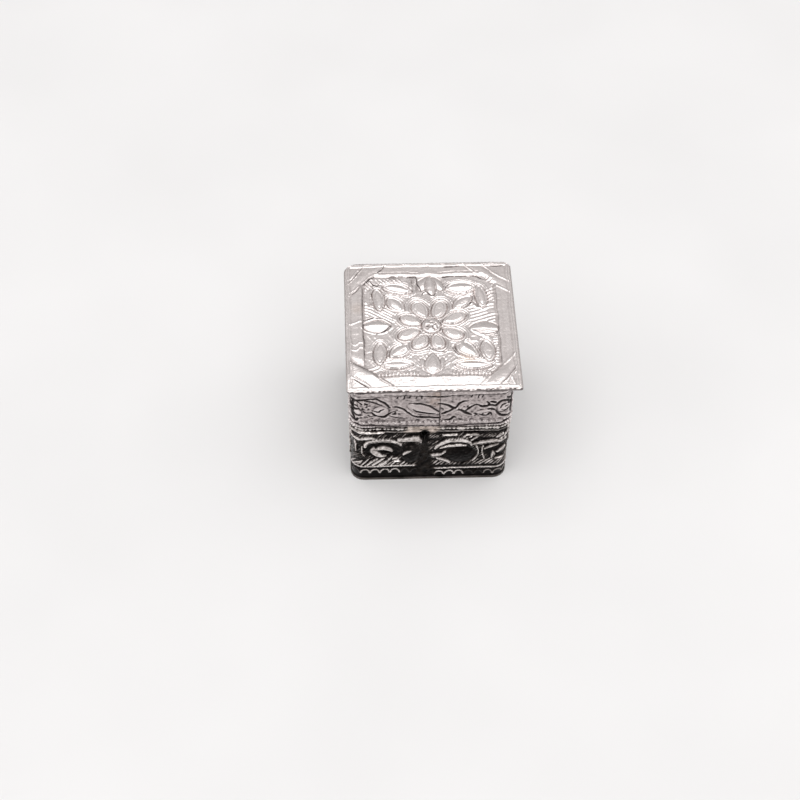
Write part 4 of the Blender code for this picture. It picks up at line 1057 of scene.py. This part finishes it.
# The rows of slanting strokes between them: level, spacing, length, width, how clean, and seed.
WALL_SLANTS = (
    (3.4, 0.66, 2.2, 0.36, 0.8, 51),
    (5.2, 0.6, 1.7, 0.27, 0.4, 52),
    (6.8, 0.6, 1.7, 0.27, 0.4, 53),
    (8.3, 0.55, 1.5, 0.26, 0.45, 54),
    (9.9, 0.44, 1.2, 0.25, 0.6, 55),
)

# The rows of notches over the brows: first and last place, spacing, lower and upper end, depth and ink.
BROW_NOTCHES = ((1.7, 6, 0.42, 9.6, 10.15, 0.07, 0.85), (-8.4, -5, 0.5, 9.75, 10.25, 0.06, 0.8))

# The row of beads under the rim, in the same terms as the skirt's.
WALL_BEAD_ROW = (12.3, 0.54, 0.38, 56)

# The foot's line, how much it climbs on its way round, and the feet and spacing of the arches below.
FOOT_LINE = 2.55
FOOT_CLIMB = 0.8
ARCH_FOOT = 0.95
ARCH_SPACING = 1.5


def slants(relief, first, last, level, spacing, length, width, clean, seed):
    """Slanting strokes of uneven length that rise along the sheet from a level."""
    draws = np.random.default_rng(seed)
    for place in np.arange(first, last, spacing):
        start = place + draws.uniform(-0.12, 0.12) * spacing
        reach = length * draws.uniform(0.5, 1.3)
        spin = math.radians(47 + draws.uniform(-7, 7))
        across, up = reach * math.cos(spin), reach * math.sin(spin)
        line = [(start, level, 0.7 * width), (start + across / 2, level + up / 2, width)]
        line.append((start + across, level + up, 0.3 * width))
        relief.ridge(line, 0.12, level=0.0, clean=clean * draws.uniform(0.4, 1.2))


def climb(loop, place):
    """How much higher the foot's pattern lies there than at its start."""
    return FOOT_CLIMB * (place - BODY_SEAM) / loop.length


# How clean the foot's arches are along the front.
ARCH_PLACES = (-13.0, -11.0, -10.2, -4.6, -3.6, -0.9, -0.4, 4.4, 5.2, 8.0, 9.0, 13.0)
ARCH_SHINES = (0.1, 0.15, 0.75, 0.85, 0.05, 0.1, 0.9, 0.95, 0.1, 0.05, 0.5, 0.5)


def arch_shine(loop, place):
    """How clean the foot's arch at a place is. It wanders on the sides other than the front."""
    if place > loop.length / 2:
        place -= loop.length
    if abs(place) < ARCH_PLACES[-1]:
        return float(np.interp(place, ARCH_PLACES, ARCH_SHINES))
    return float(np.clip(0.5 + 0.6 * wander(place, 0.0, 5.0, 57), 0.1, 0.9))


def wall_relief(relief, loop):
    """The body's frieze: a bead row, hatching, C-scrolls, ovals and brows, and a scalloped foot."""
    x, z = relief.x, relief.y
    first, last = BODY_SEAM, loop.length + BODY_SEAM
    relief.dark += 0.88 + 0.1 * wander(x, z, 0.6, 32)
    relief.height += 0.04 * wander(x, z, 1.2, 19) + 0.03 * wander(x, z, 0.35, 18)
    for row in WALL_SLANTS:
        slants(relief, first, last, *row)
    for side in sides(loop, 0.9):
        wall_side(relief, side)
    relief.dark += 0.16 * wander(x, z, 0.4, 33) + 0.2 * wander(x, z, 0.2, 34)
    relief.height += 0.02 * wander(x, z, 0.3, 35)
    relief.course(11.55, 0.42, 0.1, clean=0.65)
    relief.course(11.15, 0.3, -0.05, ink=1.0)
    relief.course(12.2, 0.9, 0.06, clean=0.34)
    bead_row(relief, first, last, *WALL_BEAD_ROW)
    foot = [(place, FOOT_LINE + climb(loop, place), 0.42) for place in np.linspace(first, last, 60)]
    cleared = relief.window([(first, 0.0), (last, 3.2)], 0.2)
    below = smoothstep(0.1, -0.1, z[cleared] - 2.6 - climb(loop, x[cleared]))
    relief.height[cleared] *= 1 - below
    relief.tint(cleared, 1.0, below)
    relief.ridge(foot, 0.17, level=0.02, clean=0.9)
    for place in np.arange(first, last, 0.5):
        level = FOOT_LINE + climb(loop, place)
        relief.cut([(place, level - 0.2, 0.12), (place + 0.15, level + 0.2, 0.12)], 0.05, 0.45)
    for place in np.arange(first + 0.9, last, ARCH_SPACING):
        line = arch(place, ARCH_FOOT + climb(loop, place), 0.66, 0.85, 0.3)
        relief.ridge(line, 0.14, level=0.0, clean=arch_shine(loop, place))


def wall_side(relief, side):
    """One side's motifs of the body's frieze."""
    for x, z, length, width, turn in WALL_GROUNDS:
        ground = moved(leaf(x, z, length, width, turn, pointing=0.1), *side)
        part = relief.window(ground, 0.2)
        cover = smoothstep(0, 0.4, relief.distance(part, ground))
        relief.height[part] *= 1 - 0.8 * cover
        relief.dark[part] += (0.97 - relief.dark[part]) * 0.8 * cover
    # The polished ovals are painted black: a painted dark reflection.
    for x, z, length, width, turn in WALL_OVALS:
        oval = moved(leaf(x, z, length, width, turn, pointing=0.1), *side)
        part, inside = relief.emboss(
            oval, 0.2, width / 2, level=-0.05, fullness=2.0, ink=1.0, groove=0.08
        )
        relief.tint(part, 1, smoothstep(0, 0.1, inside))
    for line in WALL_RIDGES:
        stroke = moved(curve(*line, steps=4), *side)
        relief.ridge(widened(stroke, 1.28, 0.05), 0.26, level=0.05, clean=0.72, fullness=4)
        if DOUBLED_RIDGE[0] < max(width for _, _, width in stroke) < DOUBLED_RIDGE[1]:
            beside = [(px + 0.05, pz - 0.22 * width, 0.3 * width) for px, pz, width in stroke[2:-2]]
            relief.cut(beside, 0.08, 0.9)
    for first, last, spacing, low, high, deep, ink in BROW_NOTCHES:
        for place in np.arange(first, last, spacing):
            relief.cut(moved(((place, low, 0.1), (place + 0.35, high, 0.24)), *side), deep, ink)


# The run of solder over the body's seam: levels above the wall's foot, its half widths there, the
# spacing of its grid, how far it stands out and its thickness.
RUN_LEVELS = (0, 2.5, 5.0, 8.0, 10.1)
RUN_HALF_WIDTHS = (1.45, 1.15, 0.75, 0.4, 0.2)
RUN_STEP = 0.1
RUN_RISE = 0.05
RUN_SHEET = 0.14


def build_seam_run(loop, low, high):
    """The lumpy solder over the body's seam. It thins out to nothing at its sides."""
    widest = RUN_HALF_WIDTHS[0]
    along = spaced(BODY_SEAM - widest, BODY_SEAM + widest, RUN_STEP)
    relief = Relief(along, spaced(low + 0.1, high, RUN_STEP), seed=71)
    x, z = relief.x, relief.y
    side = 1 - np.abs(relief.plain_x - BODY_SEAM) / widest
    relief.height += (RUN_RISE + 0.1) * smoothstep(0, 0.7, side) - 0.1
    relief.height += 0.05 * wander(x, z, 0.8, 72) + 0.03 * wander(x, z, 0.3, 73)
    relief.dark += 0.93 + 0.14 * wander(x, z, 0.6, 74)
    relief.stain += 0.1

    # It narrows towards its head.
    heights = relief.plain_y
    half = np.interp(heights - low, RUN_LEVELS, RUN_HALF_WIDTHS)
    half = half * (1 + 0.15 * wander(heights, heights, 0.9, 75))
    places = BODY_SEAM + (relief.plain_x - BODY_SEAM) * half / widest
    material = silver("solder_run", SOLDER_STOPS, rough_clean=0.3, rough_dark=0.4, grain=0.5)
    run = build_wall("body_seam_run", loop, relief, places, RUN_SHEET, material, inner_dark=0.8)
    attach(run, "box")


def build_body(material):
    """The body's wall, nipped at the hole in its seam, where solder floods its relief."""
    loop, relief = wall_strip("body_wall", WALL_CORNER, WALL_CAD_RELIEF, BODY_SEAM, WALL_STEP, 15)
    wall_relief(relief, loop)
    finish_relief(relief, WALL_STEP, base=0.1, cavity_gain=0.35, crest_gain=0.2)
    round_rims(relief)

    # Solder lies over the relief beside the seam, dark low down and pale at its head.
    right, left = relief.x - BODY_SEAM, BODY_SEAM + loop.length - relief.x
    spread = smoothstep(11.4, 1.0, relief.y)
    flood = np.maximum(
        smoothstep(0.35 + 1.9 * spread, 0.1 + 1.1 * spread, right),
        smoothstep(0.3 + 1.4 * spread, 0.1 + 0.8 * spread, left),
    )
    flood *= smoothstep(11.6, 10.9, relief.y)
    lumps = 0.03 * wander(relief.x, relief.y, 0.5, 63)
    relief.height += (lumps - 0.06 - relief.height) * 0.85 * flood
    relief.tint(..., 0.97, flood)
    ragged = 0.8 * wander(relief.x, relief.y, 0.6, 65)
    patch = smoothstep(2.6, 1.4, right + ragged) + smoothstep(3.3, 2.0, left + ragged)
    patch *= smoothstep(10.9, 11.25, relief.y + 0.3 * ragged) * smoothstep(12.9, 12.6, relief.y)
    relief.height += (lumps + 0.06 - relief.height) * 0.4 * patch
    mottled = 0.28 + 0.32 * wander(relief.x, relief.y, 0.35, 64)
    relief.dark += (mottled - relief.dark) * 0.9 * patch
    relief.stain = np.clip(0.36 * patch + 0.25 * flood, 0, 1)
    hole = relief.up[-1] - SEAM_HOLE_DROP
    # A pit round the seam's hole is sunk and painted black as the hole's shade. The seam's edges from the
    # foot to just above the hole are darkened with it.
    pit = smoothstep(1.0, 0.65, np.hypot(np.minimum(right, left), 0.75 * (relief.y - hole + 0.35)))
    relief.height -= 0.12 * pit
    beside = smoothstep(0.3, 0.12, np.minimum(right, left)) * smoothstep(hole + 0.8, hole + 0.5, relief.y)
    pit = np.maximum(pit, beside)
    relief.tint(..., 1, pit)

    # The strip's ends part round the hole, and close above it.
    heights = relief.plain_y
    half = np.sqrt(np.clip(SEAM_HOLE_RADIUS**2 - (heights - hole) ** 2, 0, None))
    push = np.clip(half - SEAM_GAP / 2, 0, None)
    above = smoothstep(hole + SEAM_HOLE_RADIUS, hole + 1.5 * SEAM_HOLE_RADIUS, heights)
    push -= (SEAM_GAP / 2 - 0.01) * above
    build_seam_run(loop, relief.up[0], hole - SEAM_HOLE_RADIUS)
    places = shift_ends(relief, push)
    name = "body_wall_embossed"
    wall = build_wall(name, loop, relief, places, WALL_SHEET, material, inner_dark=0.6)
    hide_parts("body_wall")
    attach(wall, "box")


# How deep the metals' grain is.
GRAIN_DEPTH = 0.02


class Nodes:
    """The node tree of a material or a world, with short calls for the nodes used here."""

    def __init__(self, owner, shader="Principled BSDF"):
        self.owner = owner
        owner.use_nodes = True
        self.tree = owner.node_tree
        self.shader = self.tree.nodes[shader]

    def link(self, source, target):
        self.tree.links.new(source, target)

    def node(self, kind, **settings):
        made = self.tree.nodes.new(kind)
        for key, value in settings.items():
            setattr(made, key, value)
        return made

    def noise(self, size, detail=3.0, stretch=(1, 1, 1)):
        """Noise of about that size in millimetres."""
        place = self.node("ShaderNodeTexCoord").outputs["Object"]
        mapping = self.node("ShaderNodeMapping")
        mapping.inputs["Scale"].default_value = stretch
        self.link(place, mapping.inputs["Vector"])
        made = self.node("ShaderNodeTexNoise")
        made.inputs["Scale"].default_value = 1 / (size * MM)
        made.inputs["Detail"].default_value = detail
        self.link(mapping.outputs["Vector"], made.inputs["Vector"])
        return made.outputs["Fac"]

    def math(self, operation, first, second):
        made = self.node("ShaderNodeMath", operation=operation)
        for socket, value in zip(made.inputs, (first, second)):
            if isinstance(value, (int, float)):
                socket.default_value = value
            else:
                self.link(value, socket)
        return made.outputs[0]

    def waver(self, size, detail, gain):
        """Noise of about that size, as far below 0 as above it."""
        return self.math("MULTIPLY", self.math("SUBTRACT", self.noise(size, detail), 0.5), gain)

    def scaled(self, value, gain, offset):
        return self.math("ADD", self.math("MULTIPLY", value, gain), offset)

    def axis(self, kind, letter):
        """One of the texture coordinates of a kind."""
        split = self.node("ShaderNodeSeparateXYZ")
        self.link(self.node("ShaderNodeTexCoord").outputs[kind], split.inputs[0])
        return split.outputs[letter]

    def ramp(self, value, stops):
        """The colour at a value, between stops that go up."""
        made = self.node("ShaderNodeValToRGB")
        elements = made.color_ramp.elements
        while len(elements) < len(stops):
            elements.new(0.5)
        for element, (position, colour) in zip(elements, stops):
            element.position = position
            element.color = (*colour, 1)
        self.link(value, made.inputs["Fac"])
        return made.outputs["Color"]

    def mix(self, factor, first, colour, blend="MIX"):
        """Goes from a linked colour to a plain one."""
        made = self.node("ShaderNodeMix", data_type="RGBA", blend_type=blend)
        self.link(factor, made.inputs["Factor"])
        self.link(first, made.inputs["A"])
        made.inputs["B"].default_value = (*colour, 1)
        return made.outputs["Result"]

    def metal(self, colour, roughness, grain, strength):
        """Makes the shader a metal of that colour, roughness and fine grain, and gives the material."""
        self.shader.inputs["Metallic"].default_value = 1
        self.link(colour, self.shader.inputs["Base Color"])
        self.link(roughness, self.shader.inputs["Roughness"])
        bump = self.node("ShaderNodeBump")
        bump.inputs["Strength"].default_value = strength
        bump.inputs["Distance"].default_value = GRAIN_DEPTH * MM
        self.link(grain, bump.inputs["Height"])
        self.link(bump.outputs["Normal"], self.shader.inputs["Normal"])
        return self.owner


def silver(name, stops, rough_clean, rough_dark, grain):
    """Silver whose colour and gloss follow the sheet's tarnish, with a fine grain."""
    nodes = Nodes(bpy.data.materials.new(name))
    tarnish = nodes.node("ShaderNodeAttribute", attribute_name="tarnish").outputs["Fac"]
    clouded = nodes.math("ADD", tarnish, nodes.waver(3.0, 5.0, 0.26))
    mottled = nodes.math("ADD", clouded, nodes.waver(0.16, 2.0, 0.16))
    stain = nodes.node("ShaderNodeAttribute", attribute_name="stain").outputs["Fac"]
    colour = nodes.mix(stain, nodes.ramp(mottled, stops), STAIN_COLOUR, "MULTIPLY")
    rough = nodes.scaled(mottled, rough_dark - rough_clean, rough_clean)
    rough = nodes.math("ADD", rough, nodes.waver(0.6, 3.0, 0.12))
    return nodes.metal(colour, rough, nodes.noise(0.12, 4.0), grain)


# What a full stain multiplies the silver's colour by.
STAIN_COLOUR = (0.85, 0.66, 0.48)

# Colours from clean to tarnished.
PLATE_STOPS = (
    (0, (0.92, 0.87, 0.855)),
    (0.5, (0.62, 0.565, 0.55)),
    (1, (0.05, 0.04, 0.04)),
)
SKIRT_STOPS = (
    (0, (0.90, 0.84, 0.83)),
    (0.35, (0.49, 0.435, 0.43)),
    (0.7, (0.15, 0.13, 0.13)),
    (1, (0.02, 0.016, 0.016)),
)
SOLDER_STOPS = (
    (0, (0.34, 0.29, 0.25)),
    (0.5, (0.055, 0.045, 0.038)),
    (1, (0.004, 0.003, 0.003)),
)
BODY_STOPS = (
    (0, (0.90, 0.85, 0.83)),
    (0.3, (0.46, 0.42, 0.40)),
    (0.65, (0.07, 0.06, 0.055)),
    (1, (0.004, 0.003, 0.003)),
)

# The collar's colour where it is hidden in the body: painted near-black shade.
HIDDEN_SHADE_COLOUR = (0.03, 0.026, 0.024)

# The metals of the CAD nodes: clean and dull colour, roughness, and the level below which they are
# painted nearly black as shade.
METALS = {
    "plain_silver": ((0.82, 0.79, 0.78), (0.60, 0.57, 0.55), 0.3, 0),
    "collar_silver": ((0.82, 0.79, 0.78), (0.60, 0.57, 0.55), 0.3, COLLAR_SHOWS),
    "foot_silver": ((0.16, 0.14, 0.13), (0.05, 0.045, 0.04), 0.36, 0),
    "solder": ((0.46, 0.42, 0.38), (0.24, 0.20, 0.17), 0.45, 0),
    "seam_solder": ((0.06, 0.05, 0.045), (0.015, 0.012, 0.011), 0.4, 0),
}

# The nodes that have neither plain silver nor plain solder.
SPECIAL_METALS = {
    "base_plate": "foot_silver",
    "inner_collar": "collar_silver",
    "body_seam_solder": "seam_solder",
    "lid_seam_solder": "seam_solder",
}


def plain_metal(name, clean, dull, roughness, shade_below):
    """Metal of a CAD node, mottled between two colours and finely scratched, and painted near-black shade
    below a level.
    """
    nodes = Nodes(bpy.data.materials.new(name))
    # Below that level the colour is painted near-black shade.
    deep = nodes.math("LESS_THAN", nodes.axis("Object", "Z"), shade_below * MM)
    cloud = nodes.ramp(nodes.noise(1.6, 5.0), ((0.3, clean), (0.7, dull)))
    rough = nodes.scaled(nodes.noise(0.5), 0.25, roughness - 0.12)
    grain = nodes.noise(0.15, 4.0, (1, 1, 8))
    return nodes.metal(nodes.mix(deep, cloud, HIDDEN_SHADE_COLOUR), rough, grain, 0.35)


def dress_cad_nodes():
    """Gives the CAD nodes their metals."""
    metals = {name: plain_metal(name, *look) for name, look in METALS.items()}
    for name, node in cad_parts.items():
        usual = "solder" if "solder" in name else "plain_silver"
        for slot in node.material_slots:
            slot.material = metals[SPECIAL_METALS.get(name, usual)]


# Half the floor's width, in metres, and its two greys.
FLOOR_HALF = 6.0
FLOOR_STOPS = ((0.3, (0.80, 0.80, 0.80)), (0.7, (0.84, 0.84, 0.84)))


def build_floor():
    """A plain pale floor."""
    mesh = bpy.data.meshes.new("floor")
    mesh.from_pydata([(FLOOR_HALF * sx, FLOOR_HALF * sy, 0) for sx, sy in CORNERS], [], [(0, 1, 2, 3)])
    nodes = Nodes(bpy.data.materials.new("floor_paper"))
    nodes.link(nodes.ramp(nodes.noise(40, 2.0), FLOOR_STOPS), nodes.shader.inputs["Base Color"])
    nodes.shader.inputs["Roughness"].default_value = 0.9
    mesh.materials.append(nodes.owner)
    floor = bpy.data.objects.new("floor", mesh)
    bpy.context.scene.collection.objects.link(floor)


# The softboxes, in metres: place, width, depth and radiance. They aim at the box's middle.
SOFTBOXES = {
    "overhead": ((0, -0.14, 0.75), 1.2, 1.15, 1.06),
    "left_side": ((-1.0, -0.2, 0.45), 0.7, 0.6, 0.9),
    "right_side": ((1.0, -0.1, 0.45), 0.7, 0.6, 0.7),
}
SOFTBOX_AIM = (0, 0, 0.01)

# The room's colours, from level with the box and below it to high above.
ROOM_STOPS = ((0, (0.62, 0.62, 0.62)), (0.25, (0.45, 0.435, 0.43)), (0.75, (0.68, 0.66, 0.655)))


def add_softbox(name, place, width, depth, radiance):
    """A rectangular lamp, in metres, of that radiance."""
    lamp = bpy.data.lights.new(name, "AREA")
    lamp.shape = "RECTANGLE"
    lamp.size, lamp.size_y = width, depth
    lamp.energy = radiance * math.pi * width * depth
    made = bpy.data.objects.new(name, lamp)
    made.location = place
    made.rotation_euler = (Vector(SOFTBOX_AIM) - Vector(place)).to_track_quat("-Z", "Y").to_euler()
    bpy.context.scene.collection.objects.link(made)


def build_studio():
    """Soft studio light: one large overhead softbox, two smaller ones at the sides, and a grey room."""
    for name, softbox in SOFTBOXES.items():
        add_softbox(name, *softbox)
    room = Nodes(bpy.data.worlds.new("room"), "Background")
    bpy.context.scene.world = room.owner
    room.link(room.ramp(room.axis("Generated", "Z"), ROOM_STOPS), room.shader.inputs["Color"])
    room.shader.inputs["Strength"].default_value = 1.0


# The photograph's camera, from the four corners of the plate: metres and degrees.
CAMERA_PLACE = (-0.013157, -0.166446, 0.20628)
CAMERA_DROP = 50.42
CAMERA_YAW = 3.03
CAMERA_ROLL = 1.20
CAMERA_LENS = 75.51
SENSOR = 36.0


def build_camera():
    """The camera at the photograph's place."""
    drop, yaw, roll = (math.radians(v) for v in (CAMERA_DROP, CAMERA_YAW, CAMERA_ROLL))
    forward = Vector((math.sin(yaw) * math.cos(drop), math.cos(yaw) * math.cos(drop), -math.sin(drop)))
    level = Vector((math.cos(yaw), -math.sin(yaw), 0))
    up = level.cross(forward)
    right = math.cos(roll) * level + math.sin(roll) * up
    up = math.cos(roll) * up - math.sin(roll) * level
    data = bpy.data.cameras.new("camera")
    data.lens = CAMERA_LENS
    data.sensor_width = SENSOR
    data.clip_start = 0.01
    camera = bpy.data.objects.new("camera", data)
    bpy.context.scene.collection.objects.link(camera)
    turn = Matrix((right, up, -forward)).transposed().to_4x4()
    camera.matrix_world = Matrix.Translation(CAMERA_PLACE) @ turn
    bpy.context.scene.camera = camera


build_plate(silver("plate_silver", PLATE_STOPS, rough_clean=0.2, rough_dark=0.4, grain=0.3))
build_skirt(silver("skirt_silver", SKIRT_STOPS, rough_clean=0.18, rough_dark=0.42, grain=0.35))
build_body(silver("body_silver", BODY_STOPS, rough_clean=0.22, rough_dark=0.2, grain=0.4))
dress_cad_nodes()
build_floor()
build_studio()
build_camera()
bpy.context.scene.view_settings.view_transform = "Standard"
